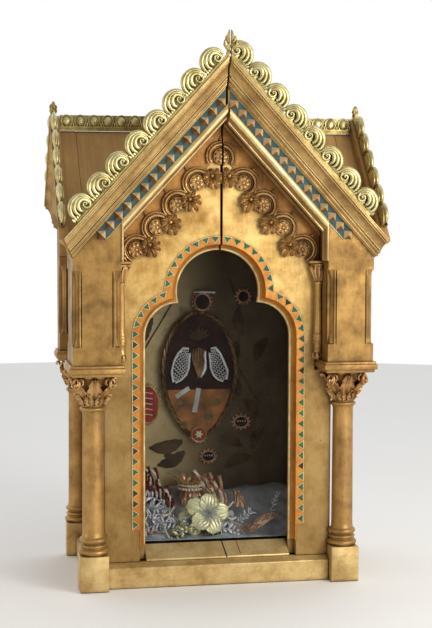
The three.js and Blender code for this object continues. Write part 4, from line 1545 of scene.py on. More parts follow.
@dataclass
class LeafTrim:
    """The pale metal trim: crocket strips on the rakes, finials, and ridge crestings."""

    finishes: Finishes
    setter: Setter
    pitch: float = 27.8
    height: float = 26.0
    strip: float = 4.0
    front_y: float = -191.0
    side_x: float = 246.0
    count: int = 8

    def crocket(self, long: float, tall: float) -> Stock:
        """One scrolled leaf about the middle of its foot; x runs downhill and z up.

        Args:
            long: its length.
            tall: its height.

        Returns:
            The leaf.
        """
        stock = Stock()
        sx, sz = long / 41.4, tall / 23.0
        body = [(19.0, 0.0), (20.0, 4.0), (18.0, 11.0), (12.5, 17.5), (5.0, 21.6), (-3.5, 22.0),
                (-11.0, 18.8), (-15.6, 12.0), (-16.0, 5.0), (-13.0, 0.0)]
        stock.loft([[(x * sx * k, y, 8.0 * sz + (z - 8.0) * sz * k) for x, z in body]
                    for y, k in ((3.6, 0.96), (0.6, 1.0), (-0.6, 0.94))])
        for k in range(3):
            path, sizes = [], []
            for t in shares(14):
                a = radians(-34 + 232 * t)
                rx, rz = 19.4 - 4.8 * k - 2.0 * t, 13.6 - 2.9 * k
                path.append(((-1.6 - 2.0 * k + rx * cos(a)) * sx, -1.0 - 1.2 * k,
                             (8.4 - 0.3 * k + rz * sin(a) * (1.0 if a > 0 else 0.8)) * sz))
                sizes.append((1.0 + 2.6 * sin(pi * min(1.0, 0.1 + t * 0.86))) * sz ** 0.5)
            stock.tube(path, sizes, 8)
        path = []
        for t in shares(19):
            a = radians(170 + 400 * t)
            r = 6.4 * (1 - t) ** 0.8 + 0.6
            path.append(((-8.6 + r * cos(a)) * sx, -3.2 - 1.6 * t, (7.6 + r * 0.95 * sin(a)) * sz))
        stock.tube(path, [2.3 - 0.9 * t for t in shares(19)], 8)
        stock.dome((-8.4 * sx, -4.2, 7.4 * sz), (1.7, 1.6, 1.7))
        for i in range(4):
            x = 20.0 - 3.9 * i
            stock.leaf([(x * sx, -0.8, 1.0), ((x + 0.6) * sx, -2.8, 3.6 * sz),
                        ((x + 1.6) * sx, -3.0, (6.6 - 0.7 * i) * sz)], (-1, 0, 0.15),
                       (1.4, 2.2, 0.7), cup=0.4, thick=1.0, across=4)
        return stock

    def strip_run(self, stock: Stock, pitch: Pitch, start: float, end: float, depth: float) -> None:
        """The flat fillet that the leaves stand on, in x and z about the middle plane.

        Args:
            stock: the piece it is added to.
            pitch: the line it lies on.
            start: where it starts.
            end: where its foot ends.
            depth: how deep it is.
        """
        low, high = pitch.lifted(0.35), pitch.lifted(self.strip)
        stock.loft([[(x, y, z) for x, z in ((start, low.z(start)), (start, high.z(start)),
                                            (end + 2.6, high.z(end + 2.6)), (end, low.z(end)))]
                    for y in (-depth / 2, depth / 2)])

    def finial(self, pitch: Pitch, top: float, start: float) -> Stock:
        """Half of the leaf finial: a stem with two pairs of small leaves and a bud.

        Args:
            pitch: the line it stands on.
            top: the height of its bud.
            start: where its flat side stands.

        Returns:
            The shape.
        """
        stock = Stock()
        base = pitch.apex + 1
        rise = top - base
        stock.loft([[(x, depth, base + t * rise) for x, depth in
                     ((start, y), (start + w, y), (start + w, -y), (start, -y))]
                    for t, w, y in ((0.0, 5.0, -3.6), (0.2, 3.4, -3.0), (0.42, 3.0, -3.0),
                                    (0.5, 4.2, -3.6), (0.6, 3.0, -3.0), (0.8, 3.4, -3.2),
                                    (0.92, 2.0, -2.0), (1.0, 0.6, -0.8))])
        for low, out, tall in ((0.12, 8.6, 0.42), (0.42, 6.0, 0.3)):
            z = base + low * rise
            path = [(start + 1, -2.6, z), (start + out * 0.6, -3.6, z + tall * rise * 0.25),
                    (start + out, -3.6, z + tall * rise * 0.6),
                    (start + out * 0.92, -4.4, z + tall * rise),
                    (start + out * 0.6, -4.4, z + tall * rise * 0.9)]
            stock.leaf(path, (0, 1, 0.2), (1.8, 2.6, 2.6, 1.9, 1.0), cup=0.2, thick=1.4, across=4)
            stock.tube(path, (1.4, 2.0, 2.0, 1.6, 0.9), 8)
        return stock

    def stamped(self, name: str, strip: Stock, unit: Stock, places: Sequence[Place],
                unevenness: float, seed: int) -> None:
        """Sets leaves out along a strip and shows them with it.

        Args:
            name: the frame's node that they replace.
            strip: the strip.
            unit: one leaf.
            places: where each leaf goes.
            unevenness: how far each may be turned off true, in radians.
            seed: the seed of that turning.
        """
        trim, plain_strip = self.finishes.trim, self.finishes.strip
        leaves = self.setter.mesh(name + "_leaves", unit, places, trim, unevenness, seed)
        mesh = joined(name, [(strip.mesh(name + "_strip"), 1), (leaves, 0)])
        show(name + "_stamped", mesh, [trim, plain_strip], [name], 50.0)

    def front(self) -> None:
        """The strips on the front gable."""
        crest = FRONT_PITCH.lifted(30.0)
        unit = self.crocket(self.pitch * crest.rise, self.height * 1.06)
        run = Vector((1, 0, -crest.slope)).normalized()
        up = Vector((crest.slope, 0, 1)).normalized()
        for side in Side:
            first = 7.0 if side is Side.RIGHT else 17.0
            start = JOINT_RIGHT - 2.2 if side is Side.RIGHT else 0.6
            stock = Stock()
            self.strip_run(stock, crest, start, first + (self.count - 0.53) * self.pitch, 8.0)
            stock.join(self.finial(crest, 847.5, start - 0.4))
            stock = stock if side is Side.RIGHT else stock.mirrored()
            for p in stock.points:
                p.y += self.front_y
            places = []
            for i in range(self.count):
                x = first + i * self.pitch
                foot = Vector((x, 0, crest.z(x))) + up * (self.strip - 2.0)
                s = side.value
                turn = Matrix(((run.x, 0, s * run.z), (0, 1, 0), (s * up.x, 0, up.z))).transposed()
                places.append(Place((s * foot.x, self.front_y, foot.z), turn, (s, 1.0, 1.0)))
            self.stamped(f"crockets_front_{side.word}", stock, unit, places, 0.03, 5)

    def sides(self) -> None:
        """The strips on the side gables, with a finial on each."""
        crest = SIDE_PITCH.lifted(30.0)
        unit = self.crocket(26.0 * crest.rise, 21.0)
        for side in Side:
            s = side.value
            stock = Stock()
            places = []
            for way in (-1, 1):
                reach = 20 + 26 * 5.47 if way < 0 else BACK - CROSS_RIDGE - 2.6
                run = Stock()
                self.strip_run(run, crest, 0.0, reach, 8.0)
                run.join(self.finial(crest, 751.5, 0.0))
                turn = Matrix.Rotation(radians(90 * way), 4, "Z")
                stock.join(run, Matrix.Translation((s * self.side_x, CROSS_RIDGE, 0)) @ turn)
                for i in range(6):
                    d = 20 + 26.0 * i
                    if way > 0 and CROSS_RIDGE + d + 13 > BACK:
                        continue
                    up = Vector((0, way * crest.slope, 1)).normalized()
                    foot = Vector((s * self.side_x, CROSS_RIDGE + way * d, crest.z(d)))
                    foot += up * (self.strip - 0.4)
                    ahead = Vector((0, way, -crest.slope)).normalized()
                    inward = Vector((-s, 0, 0))
                    flip = 1.0 if ahead.cross(inward).dot(up) > 0 else -1.0
                    turn3 = Matrix((ahead * flip, inward, up)).transposed()
                    places.append(Place(tuple(foot), turn3, (flip, 1.0, 1.0)))
            self.stamped(f"crockets_side_{side.word}", stock, unit, places, 0.03, 7)

    def crestings(self) -> None:
        """The tongues along the ridge of the cross roof."""
        base = SIDE_PITCH.lifted(14.0).apex + 0.3
        end, first = 236.4, 84.0
        count = round((end - first) / 21.0)
        pitch = (end - first) / count
        unit = Stock()
        for y in (-1, 1):
            unit.tube([(x, y * 1.8, z) for x, z in arc(0, 14.6, 9.0, -48, 228, 18)], 1.1, 8)
            unit.dome((0.0, y * 1.4, 13.6), (7.0, 3.6, 8.6), 5, 16)
            unit.dome((pitch / 2, y * 1.2, 8.6), (1.8, 2.4, 5.0), 4, 8)
        unit.loft([[(x, y, z) for x, z in [(-8, 4), *arc(0, 14.8, 9.2, 205, -25, 10), (8, 4)]]
                   for y in (-1.4, 1.4)])
        for side in Side:
            s = side.value
            stock = Stock()
            for z0, z1, y in ((0.0, 2.6, 3.5), (2.6, 4.4, 2.6), (4.4, 7.0, 3.2), (4.0, 24.6, 0.9)):
                stock.loft([[(s * x, CROSS_RIDGE + a, base + z) for a, z in
                             ((-y, z0), (y, z0), (y, z1), (-y, z1))] for x in (first, end)])
            places = [Place((s * (end - (i + 0.5) * pitch), CROSS_RIDGE, base + 1.0))
                      for i in range(count)]
            self.stamped(f"cresting_{side.word}", stock, unit, places, 0.01, 11)

    def build(self) -> None:
        """Builds all of the trim."""
        self.front()
        self.sides()
        self.crestings()


@dataclass
class Arcade:
    """The carved arcade in the gable: arches round rosettes, and leaves hung from the cusps."""

    finishes: Finishes
    setter: Setter
    wall: float = -114.8
    front: float = -127.0
    middle: Pitch = Pitch(663.0, 1.09)
    first: float = 36.0
    step: float = 31.3
    rosette_r: float = 12.4

    def rosette(self) -> Stock:
        """An eight-petalled rose in a ring, facing -Y.

        Returns:
            The rose.
        """
        stock = Stock()
        r = self.rosette_r
        stock.turned([(0.0, 0.0), (r, 0.0), (r, 4.0), (0.0, 4.0)], sides=28)
        stock.tube([(x, z, 5.0) for x, z in arc(0, 0, r - 1.4, 0, 350, 27)], 1.7, 8, loop=True)
        for k in range(8):
            out, over = level(radians(45 * k))
            spine = [out * d + UP * h for d, h in ((1.6, 4.6), (4.0, 6.4), (7.0, 6.6), (9.4, 5.0))]
            stock.leaf(spine, -over, (1.0, 2.6, 3.5, 1.9), cup=0.45, thick=1.2, across=6)
        stock.turned([(0.0, 4.5), (3.0, 4.5), (3.0, 6.8), (1.8, 8.2), (0.0, 8.6)], sides=14)
        turned = Stock()
        turned.join(stock, Matrix.Rotation(radians(90), 4, "X"))
        return turned

    def arch(self) -> Stock:
        """Three rings of moulding over a rosette, open below.

        Returns:
            The arch.
        """
        stock = Stock()
        for r, w, y in ((14.8, 1.3, -2.2), (18.4, 2.3, -5.6), (22.4, 1.6, -4.4)):
            stock.tube([(x, y, z) for x, z in arc(0, 0, r, -30, 210, 28)], w, 8)
        stock.leaf([(0, -2.0, 22.0), (0, -5.0, 26.0), (0, -3.0, 31.0)], (1, 0, 0), (4.0, 2.4, 0.6),
                   cup=0.3, thick=1.4, across=6)
        return stock

    def spray(self) -> Stock:
        """Eight lobed leaves about a bud, most of them hanging, for a cusp.

        Returns:
            The spray.
        """
        stock = Stock()
        for angle, long, wide in ((-90, 16, 4.6), (-50, 14, 3.8), (-130, 14, 3.8), (-10, 13, 3.8),
                                  (-170, 13, 3.8), (35, 12, 3.6), (145, 12, 3.6), (90, 10, 3.6)):
            out, over = facing(radians(angle))
            spine = [out * (long * t) + Vector((0, -3.0 - 5.0 * sin(pi * t * 0.8)
                                                + 2.5 * t * t, 0)) for t in shares(7)]
            widths = [wide * (0.3 + 0.75 * sin(pi * (0.1 + 0.82 * t)))
                      * (1 + 0.24 * cos(2 * pi * 2.6 * t)) for t in shares(7)]
            stock.leaf(spine, over, widths, cup=0.35, ribs=2.0, rib=0.7, thick=1.6, across=8)
        stock.dome((0.0, -5.0, 1.0), (2.6, 2.4, 2.6), 4, 10)
        return stock

    def build(self) -> None:
        """Builds both halves on their sunk ground."""
        f = self.finishes
        out = 158.0
        lean = atan(self.middle.slope)
        for side in Side:
            s = side.value
            start = side.joint
            line = Pitch(INNER_PITCH.apex - 1.0, INNER_PITCH.slope)
            low = Pitch(self.middle.apex + 6.0, self.middle.slope)
            cap = Pitch(line.apex - 6.5, line.slope)
            stock = Stock()
            for foot, y0, y1, mark in ((low, self.wall - 2.2, self.wall - 0.2, 1),
                                       (cap, self.front + 4.0, self.wall - 1.0, 0)):
                stock.slab([(s * start, foot.z(start)), (s * out, foot.z(out)),
                            (s * out, line.z(out)), (s * start, line.z(start))], y0, y1, mark)
            places, cusps = [], []
            for i in range(5):
                x = 0.9 * s if i == 0 else self.first + (i - 1) * self.step
                places.append((x, self.middle.z(x)))
                if i < 4:
                    c = self.first * 0.5 if i == 0 else x + self.step * 0.5
                    cusps.append((c - 5.0, self.middle.z(c) - 10.0))
            arches = [Place((s * x, self.wall - 2.4, z),
                            Matrix.Rotation(s * lean * (0.0 if i == 0 else 0.8), 3, "Y"))
                      for i, (x, z) in enumerate(places)]
            roses = [Place((s * x, self.wall - 1.4, z), Matrix.Rotation(0.3 * i, 3, "Y"))
                     for i, (x, z) in enumerate(places)]
            sprays = [Place((s * x, self.wall - 5.0, z), Matrix.Rotation(s * 0.45, 3, "Y"),
                            (1.3, 1.25, 1.3)) for x, z in cusps]
            parts = [(stock.mesh("ground"), -1),
                     (self.setter.mesh("arches", self.arch(), arches, f.carving), 0),
                     (self.setter.mesh("roses", self.rosette(), roses, f.carving, 0.05, 2), 0),
                     (self.setter.mesh("sprays", self.spray(), sprays, f.spray, 0.12, 4), 2)]
            mesh = self.trimmed(joined("arcade", parts), side)
            name = f"arcade_{side.word}"
            show(name + "_carved", mesh, [f.carving, f.recess, f.spray], [name], 45.0)

    def trimmed(self, mesh: Any, side: Side) -> Any:
        """Cuts a half of the arcade off at the open joint, at the pier and at the gable's edge.

        Args:
            mesh: the half.
            side: which half it is.

        Returns:
            The same mesh.
        """
        joint = JOINT_RIGHT if side is Side.RIGHT else JOINT_LEFT
        s = side.value
        return sliced(mesh, (
            ((joint, 0, 0), (-s, 0, 0)), ((s * 158.6, 0, 0), (s, 0, 0)),
            ((0, 0, INNER_PITCH.apex - 0.5),
             (s * INNER_PITCH.slope / INNER_PITCH.rise, 0, 1 / INNER_PITCH.rise))))


@dataclass
class Colonnettes:
    """Two pendant shafts let into the piers, each with a leaf bell and a leaf drop."""

    finishes: Finishes
    x: float = 154.3
    y: float = -127.0
    inner: float = 158.7

    def build(self) -> None:
        """Turns and carves both shafts, then cuts them to the piers' faces."""
        for side in Side:
            at = Vector((side.value * self.x, self.y, 0))
            stock = Stock()
            stock.turned([
                (0.0, 361.0), (6.4, 361.0), (7.2, 362.5), (7.2, 364.5), (6.6, 365.5), (6.8, 374.5),
                (7.8, 375.6), (8.6, 377.2), (7.6, 378.8), (7.4, 380.0), (8.6, 381.6), (8.6, 383.2),
                (7.4, 384.6), (7.4, 386.0), (8.2, 387.6), (7.8, 389.6), (6.6, 390.8), (6.6, 395.0),
                (5.6, 467.0), (6.9, 468.5), (7.1, 471.0), (5.8, 472.5), (7.2, 480.0), (10.6, 494.0),
                (11.8, 499.0), (0.0, 499.0)], at.x, at.y, 28)
            stock.turned([(0.0, 357.6), (6.6, 357.6), (7.4, 359.2), (6.6, 361.2), (0.0, 361.2)],
                         at.x, at.y, 20, mark=1)
            slab = ((9.6, 498.4), (11.4, 500.2), (12.6, 500.6), (12.6, 503.8), (11.4, 504.8))
            stock.loft([[(at.x + 1.26 * h * a, at.y + h * b, z) for a, b in
                         ((-1, -1), (1, -1), (1, 1), (-1, 1))] for h, z in slab], mark=2)
            for k in range(8):
                out, over = level(radians(45 * k + 22.5))
                cup = [at + out * d + UP * z for d, z in
                       ((5.6, 473.0), (7.6, 481.0), (10.2, 489.0), (13.4, 496.0), (14.4, 493.0))]
                stock.leaf(cup, over, (1.8, 3.6, 4.6, 3.8, 1.4), cup=0.35, ribs=2.0, rib=0.6,
                           across=8, mark=3)
                drop = [at + out * d + UP * z for d, z in
                        ((0.8, 350.6), (4.0, 351.6), (6.6, 354.6), (7.6, 358.2), (6.6, 360.4))]
                stock.leaf(drop, over, (0.6, 2.2, 2.8, 2.2, 0.8), cup=0.3, across=6, mark=0)
            stock.dome((at.x, at.y, 355.6), (5.4, 5.4, 4.4), 5, 12, mark=1)
            name = f"colonnette_{side.word}"
            mesh = sliced(stock.mesh(name), [
                ((side.value * self.inner, 0, 0), (side.value, 0, 0))])
            f = self.finishes
            show(name + "_carved", mesh, [f.slender, f.red, f.spray, f.carving],
                 [name], 45.0)


@dataclass
class Medallion:
    """The almond-shaped medallion with its twisted rope, filigree wings and relic slips."""

    finishes: Finishes
    face: float = 52.0
    centre: Point = (-2.0, 308.0)
    half: Point = (63.0, 106.0)

    def outline(self, grow: float, steps: int = 64) -> list[Point]:
        """The almond grown outwards: wide above its middle, pointed below.

        Args:
            grow: how far out.
            steps: how many points it has.

        Returns:
            Points in x and z.
        """
        points = []
        for a in turns(steps):
            up, out = cos(a), sin(a)
            taper = 0.91 + 0.09 * up - 0.09 * cos(2 * a)
            x = copysign(abs(out) ** 0.92, out) * (self.half[0] + grow) * taper
            points.append((self.centre[0] + x, self.centre[1] + up * (self.half[1] + grow)))
        return points

    def build(self) -> None:
        """Builds the medallion and what is fixed on it."""
        f = self.finishes
        stock = Stock()
        stock.slab(self.outline(-4.0), self.face, 61.6, 0)
        ground = self.centre[1] - 22.0
        lower = [(x, z) for x, z in self.outline(-6.0, 128) if z < ground]
        stock.slab(lower, self.face - 0.8, self.face + 0.4, 1)
        for x, z, wide in ((-26, 226, 8), (-36, 262, 7), (14, 238, 9), (26, 262, 10), (-8, 214, 5)):
            stock.dome((x, self.face - 0.6, z), (wide, 0.9, wide * 0.7), 3, 14, mark=3)
        for phase in (0.0, pi):
            path = []
            for i, (x, z) in enumerate(self.outline(-1.5, 150)):
                a = phase + i * 0.9
                out = Vector((x - self.centre[0], 0, (z - self.centre[1]) * 0.5)).normalized()
                path.append(Vector((x, self.face - 1.0, z)) + out * (1.7 * cos(a))
                            + Vector((0, 1.7 * sin(a), 0)))
            stock.tube(path, 2.2, 6, loop=True, mark=2)
        show("medallion_dressed", stock.mesh("medallion"),
             [f.velvet, f.landscape, f.rope, f.scenery], ["medallion"], 50.0)
        show("wings", self.wings().mesh("wings"), [f.wire, f.rope, f.pressed],
             smooth=50.0)
        slips = Stock()
        for ax, az, bx, bz, half in ((-41, 272, -19, 287, 3.6), (-10, 246, -3, 286, 4.0)):
            run = Vector((bx - ax, 0, bz - az))
            over = Vector((-run.z, 0, run.x)).normalized() * half
            a, b = Vector((ax, 0, az)), Vector((bx, 0, bz))
            slips.loft([[p + Vector((0, y, 0)) for p in (a - over, b - over, b + over, a + over)]
                        for y in (self.face - 2.4, self.face - 1.2)])
        show("relic_slips", slips.mesh("slips"), [f.paper])

    def wings(self) -> Stock:
        """Two netted wings with corded edges, a body of thin strands, and a spray above it.

        Returns:
            The shape.
        """
        stock = Stock()
        y = self.face - 3.0
        for outer, inner in (
                (((-20, 352), (-29, 354), (-38, 345), (-45, 332), (-49, 314), (-46, 297)),
                 ((-18, 345), (-19, 332), (-20, 320), (-24, 309), (-32, 301), (-42, 296))),
                (((17, 352), (25, 354), (33, 344), (40, 329), (46, 314), (44, 300)),
                 ((15, 345), (16, 332), (17, 320), (21, 309), (28, 301), (38, 297)))):
            for edge, thick in ((outer, 2.0), (inner, 1.6)):
                stock.tube([(x, y, z) for x, z in edge], thick, 8)
            for i in range(1, 13):
                t = 5 * i / 13
                k, part = int(t), t % 1
                a, b = (Vector((edge[k][0], y, edge[k][1])).lerp(
                    Vector((edge[k + 1][0], y, edge[k + 1][1])), part) for edge in (outer, inner))
                cells = max(2, round((a - b).length / 4.2))
                for c in range(cells):
                    head = a.lerp(b, (c + 0.5 * (i % 2) + 0.25) / cells)
                    stock.tube([head + Vector((1.7 * cos(q), -0.8, 2.1 * sin(q)))
                                for q in (pi * (1.0 + n / 5) for n in range(6))], 0.7, 5)
        for k in range(9):
            x = -15.0 + 2.9 * k
            stock.tube([(x, y, 354 - abs(k - 4)), (x * 0.85 - 1, y - 1.5, 334),
                        (x * 0.35 - 2, y - 1.5, 314), (-3, y, 303)], 0.9, 6, mark=1)
        for k in range(7):
            way, over = facing(radians(30 + 20 * k))
            spine = [Vector((-3, y + 1, 366)) + way * q for q in (1, 7, 14, 20 + 3 * (k % 2))]
            stock.leaf(spine, over, (0.6, 2.4, 2.8, 0.5), across=4, thick=0.5, mark=2)
        stock.tube([(8, y - 1, 348), (6.5, y - 2, 340), (8, y - 2, 331), (7, y - 2, 320),
                    (4, y - 1, 312), (0, y, 304)], (1.6, 2.6, 2.0, 3.4, 3.0, 1.0), 8)
        return stock


@dataclass
class Capsules:
    """The small relic capsules on the silk, and the pressed leaves between them."""

    finishes: Finishes
    board: float = 61.7

    def capsule(self, stock: Stock, x: float, z: float, w: float, h: float, proud: float,
                lobes: int) -> None:
        """An oval capsule: a filled box with a beaded rim.

        Args:
            stock: the piece it is added to.
            x: the middle of the capsule.
            z: its height.
            w: half its width.
            h: half its height.
            proud: how far it stands off the silk.
            lobes: how many beads the rim has.
        """
        ring = [(x + w * cos(a), z + h * sin(a)) for a in turns(36)]
        stock.slab(ring, self.board - proud, self.board, 0)
        stock.tube([(px, self.board - proud, pz) for px, pz in ring], 1.5, 8, loop=True, mark=1)
        for a in turns(lobes):
            stock.dome((x + (w + 2.6) * cos(a), self.board - proud * 0.6,
                        z + (h + 2.6) * sin(a)), (2.2, 2.0, 2.2), 3, 8, mark=1)

    def build(self) -> None:
        """Builds the capsules, their small ornaments and the leaves."""
        f = self.finishes
        red = Stock()
        self.capsule(red, -88.0, 260.0, 18.0, 31.0, 6.0, 26)
        self.capsule(red, -3.0, 209.0, 12.5, 12.5, 14.0, 14)
        for i in range(5):
            z = 242.0 + 9.0 * i
            red.tube([(-97.0, self.board - 6.6, z), (-90.0, self.board - 7.4, z + 2),
                      (-80.0, self.board - 6.6, z)], 0.8, 6, mark=2)
        for i in range(6):
            out, over = facing(radians(60 * i))
            spine = [Vector((-3.0, self.board - 14.4 + y, 209.0)) + out * d
                     for d, y in ((0.5, 0), (3, -1.4), (6.5, -0.4))]
            red.leaf(spine, over, (0.5, 1.7, 0.8), across=4, thick=0.5, mark=2)
        show("red_capsules", red.mesh("red"), [f.scarlet, f.brass, f.pale_gold],
             smooth=45.0)
        dark = Stock()
        for sizes in ((71.0, 227.0, 12.0, 9.5, 5.0, 12), (15.0, 170.0, 11.0, 9.0, 5.0, 12),
                      (3.0, 430.0, 13.0, 14.0, 12.0, 16), (74.0, 438.0, 10.0, 10.0, 5.0, 12)):
            self.capsule(dark, *sizes)
        dark.tube([(-12.0, self.board - 13, 446.0), (0.0, self.board - 15, 447.0),
                   (24.0, self.board - 13, 445.5)], 1.6, 8, mark=2)
        for x, z in ((71, 228.5), (15, 171.5)):
            for dx in (-6, -2, 2, 6):
                dark.dome((x + dx, self.board - 6, z), (1.4, 1.2, 1.8), 3, 8, mark=2)
        show("dark_capsules", dark.mesh("dark"), [f.velvet, f.copper, f.silver],
             smooth=45.0)
        leaves = Stock()
        y = self.board - 0.4
        for x0, z0, angle, long, wide in (
                (-28, 196, 190, 58, 11), (-24, 178, 205, 52, 10), (-60, 172, 330, 24, 5),
                (-70, 418, 80, 44, 12), (-86, 392, 100, 40, 9), (-92, 366, 70, 40, 9),
                (60, 320, 80, 46, 9), (72, 372, 95, 50, 9), (66, 300, 250, 44, 8),
                (78, 264, 300, 40, 9), (30, 200, 340, 48, 8), (96, 330, 60, 44, 9),
                (44, 150, 20, 50, 9), (90, 180, 60, 44, 8), (-96, 208, 240, 30, 8)):
            out, over = facing(radians(angle))
            spine = [Vector((x0, y - 0.8 * sin(3.1 * t), z0)) + out * (long * t)
                     - over * (5.0 * sin(pi * t)) for t in shares(9)]
            widths = [wide * (0.06 + sin(pi * min(1.0, t * 0.94 + 0.05)) ** 0.8)
                      * (1 + 0.1 * cos(2 * pi * 4 * t)) for t in shares(9)]
            leaves.leaf(spine, over, widths, cup=0.05, ribs=3.0, rib=0.35, thick=0.4, across=8)
        leaves.tube([(-92, y, 352), (-60, y, 404), (-40, y, 438)], 1.2, 6)
        leaves.tube([(100, y, 260), (66, y, 320), (70, y, 412), (50, y, 470)], 1.4, 6)
        show("pressed_leaves", leaves.mesh("leaves"), [f.pressed], smooth=50.0)


@dataclass
class FloorOffering:
    """The grey-blue cloth, the crown, and the sprays of metal flowers on the case's floor."""

    finishes: Finishes
    floor: float = 56.3
    chance: random.Random = field(default_factory=lambda: random.Random(7))

    def cloth(self) -> None:
        """The cloth that lies on the floor and rises against the relic board."""
        nx, ny = 60, 34
        wide, deep = 300.0, 136.0
        grid = []
        for j in range(ny + 1):
            row = []
            for i in range(nx + 1):
                x, d = -wide / 2 + wide * i / nx, deep * j / ny
                climb = min(1.0, max(0.0, (d - 22) / 106))
                rise = 57.0 * climb * climb * (3 - 2 * climb)
                wave = (2.2 * sin(x * 0.045 + d * 0.02) + 1.6 * sin(x * 0.11 - d * 0.05)
                        + 1.2 * sin(d * 0.12 + x * 0.02))
                row.append((x, -76.0 + d, self.floor + 4.8 + rise + wave * min(1.0, d / 18)))
            grid.append(row)
        stock = Stock()
        stock.loft(grid, around=False, caps=False)
        piece = show("floor_cloth", stock.mesh("cloth"), [self.finishes.floor_cloth],
                     smooth=80.0)
        shell = piece.modifiers.new("Thickness", "SOLIDIFY")
        shell.thickness, shell.offset = 0.0006, 0.0

    def crown(self) -> None:
        """An open crown: a ribbed bulb, two rows of pearls, and short curled leaves."""
        x, y, z = -22.0, 8.0, 104.0
        stock = Stock()
        stock.loft([[(x + r * w * cos(a), y + r * w * sin(a), z + h)
                     for a, w in ((a, 1 + 0.045 * cos(16 * a)) for a in turns(96))]
                    for r, h in ((12.0, 0), (16.5, 3), (19.0, 8), (18.6, 13), (16.4, 18),
                                 (17.6, 21), (17.0, 21.2), (10.0, 19.0))], mark=1)
        stock.turned([(18.2, z + 20), (20.6, z + 21), (20.8, z + 27), (20.2, z + 33),
                      (19.2, z + 33), (19.4, z + 22), (18.2, z + 20)], x, y, 48)
        for height, ring, bead, count in ((23.5, 21.8, 2.5, 26), (29.5, 21.4, 1.9, 34)):
            for a in turns(count):
                stock.dome((x + ring * cos(a), y + ring * sin(a), z + height),
                           (bead, bead, bead), 4, 9, mark=2)
        for k, a in enumerate(turns(16)):
            out, over = level(a)
            tall = 1.0 if k % 2 else 0.72
            spine = [Vector((x, y, z + 31 + h * tall)) + out * d for d, h in
                     ((20.0, 0), (21.5, 6), (24.0, 11), (27.5, 13), (29.5, 10.5), (28.6, 8))]
            stock.leaf(spine, over, (2.2, 3.4, 3.8, 3.4, 2.4, 0.8), cup=0.35, thick=0.6, across=6,
                       mark=k % 2)
        f = self.finishes
        show("crown_chased", stock.mesh("crown"), [f.brass, f.copper, f.pearl],
             ["crown"], 50.0)

    def flower(self, stock: Stock, at: Vector, face: Vector, petals: int, long: float,
               wide: float, mark: int) -> None:
        """A metal flower of finely ribbed petals with a tuft of long wire stamens.

        Args:
            stock: the piece it is added to.
            at: its middle.
            face: which way it faces.
            petals: how many petals it has.
            long: how long they are.
            wide: half their width.
            mark: the number of their finish.
        """
        out = face.normalized()
        first = out.orthogonal().normalized()
        for k in range(petals):
            away = Matrix.Rotation(2 * pi * (k + self.chance.uniform(-0.1, 0.1)) / petals, 3,
                                   out) @ first
            over = away.cross(out)
            reach = long * self.chance.uniform(0.86, 1.08)
            curl = self.chance.uniform(0.5, 1.1)
            spine = [at + away * (reach * (0.05 + 0.95 * t)) + out * (0.13 * long * curl
                     * sin(pi * 0.85 * t)) for t in shares(9)]
            widths = [wide * (0.16 + 0.9 * sin(pi * min(1.0, 0.08 + 0.84 * t)) ** 0.8)
                      * (1 + 0.06 * sin(19 * t)) for t in shares(9)]
            stock.leaf(spine, over, widths, cup=-0.12, ribs=6.0, rib=0.4, thick=0.5, across=26,
                       mark=mark)
        for turn in turns(24):
            a = turn + self.chance.uniform(-0.1, 0.1)
            aside = first * cos(a) + out.cross(first) * sin(a)
            way = (out + aside * self.chance.uniform(0.6, 1.9)).normalized()
            tip = at + way * (long * self.chance.uniform(0.42, 0.62)) + out * 2
            stock.tube([at + out * 2, at.lerp(tip, 0.55) + out * 1.5, tip], 0.6, 5, mark=2)
            stock.dome(tip, (1.1, 1.1, 1.1), 2, 6, mark=2)

    def sprig(self, stock: Stock, foot: Vector, tip: Vector, leaves: int, long: float,
              wide: float, mark: int) -> None:
        """A bent stem with uneven pairs of narrow leaves.

        Args:
            stock: the piece it is added to.
            foot: where the stem starts.
            tip: where it ends.
            leaves: how many pairs it bears.
            long: how long the leaves are.
            wide: half their width.
            mark: the number of the finish.
        """
        run = tip - foot
        bow = Vector((0, -0.3, 1)).normalized() * run.length * self.chance.uniform(0.05, 0.24)
        line = [foot + run * t + bow * sin(pi * t) for t in shares(8)]
        stock.tube(line, 0.6, 5, mark=mark)
        ahead = run.normalized()
        away = ahead.cross(Vector((0, -1, 0.25))).normalized()
        for k in range(leaves):
            for s in (-1, 1):
                shift = self.chance.uniform(-0.3, 0.3)
                t = 0.12 + 0.88 * min(1.0, (k + shift) / max(1, leaves - 1))
                base = foot + run * t + bow * sin(pi * t)
                lean = (ahead * self.chance.uniform(0.3, 1.1) + away * s
                        + Vector((0, self.chance.uniform(-0.8, 0.2), 0.1))).normalized()
                size = long * self.chance.uniform(0.6, 1.25)
                droop = self.chance.uniform(-0.25, 0.25) * size
                spine = [base + lean * (size * q) + Vector((0, -1.5 * sin(3.1 * q), 0))
                         + ahead * (droop * q * q) for q in (0.0, 0.35, 0.7, 1.0)]
                over = lean.cross(Vector((0, -1, 0))).normalized()
                stock.leaf(spine, over, (0.5, wide, wide * 0.9, 0.3), cup=0.3, ribs=1.0, rib=0.25,
                           thick=0.4, across=4, mark=mark)

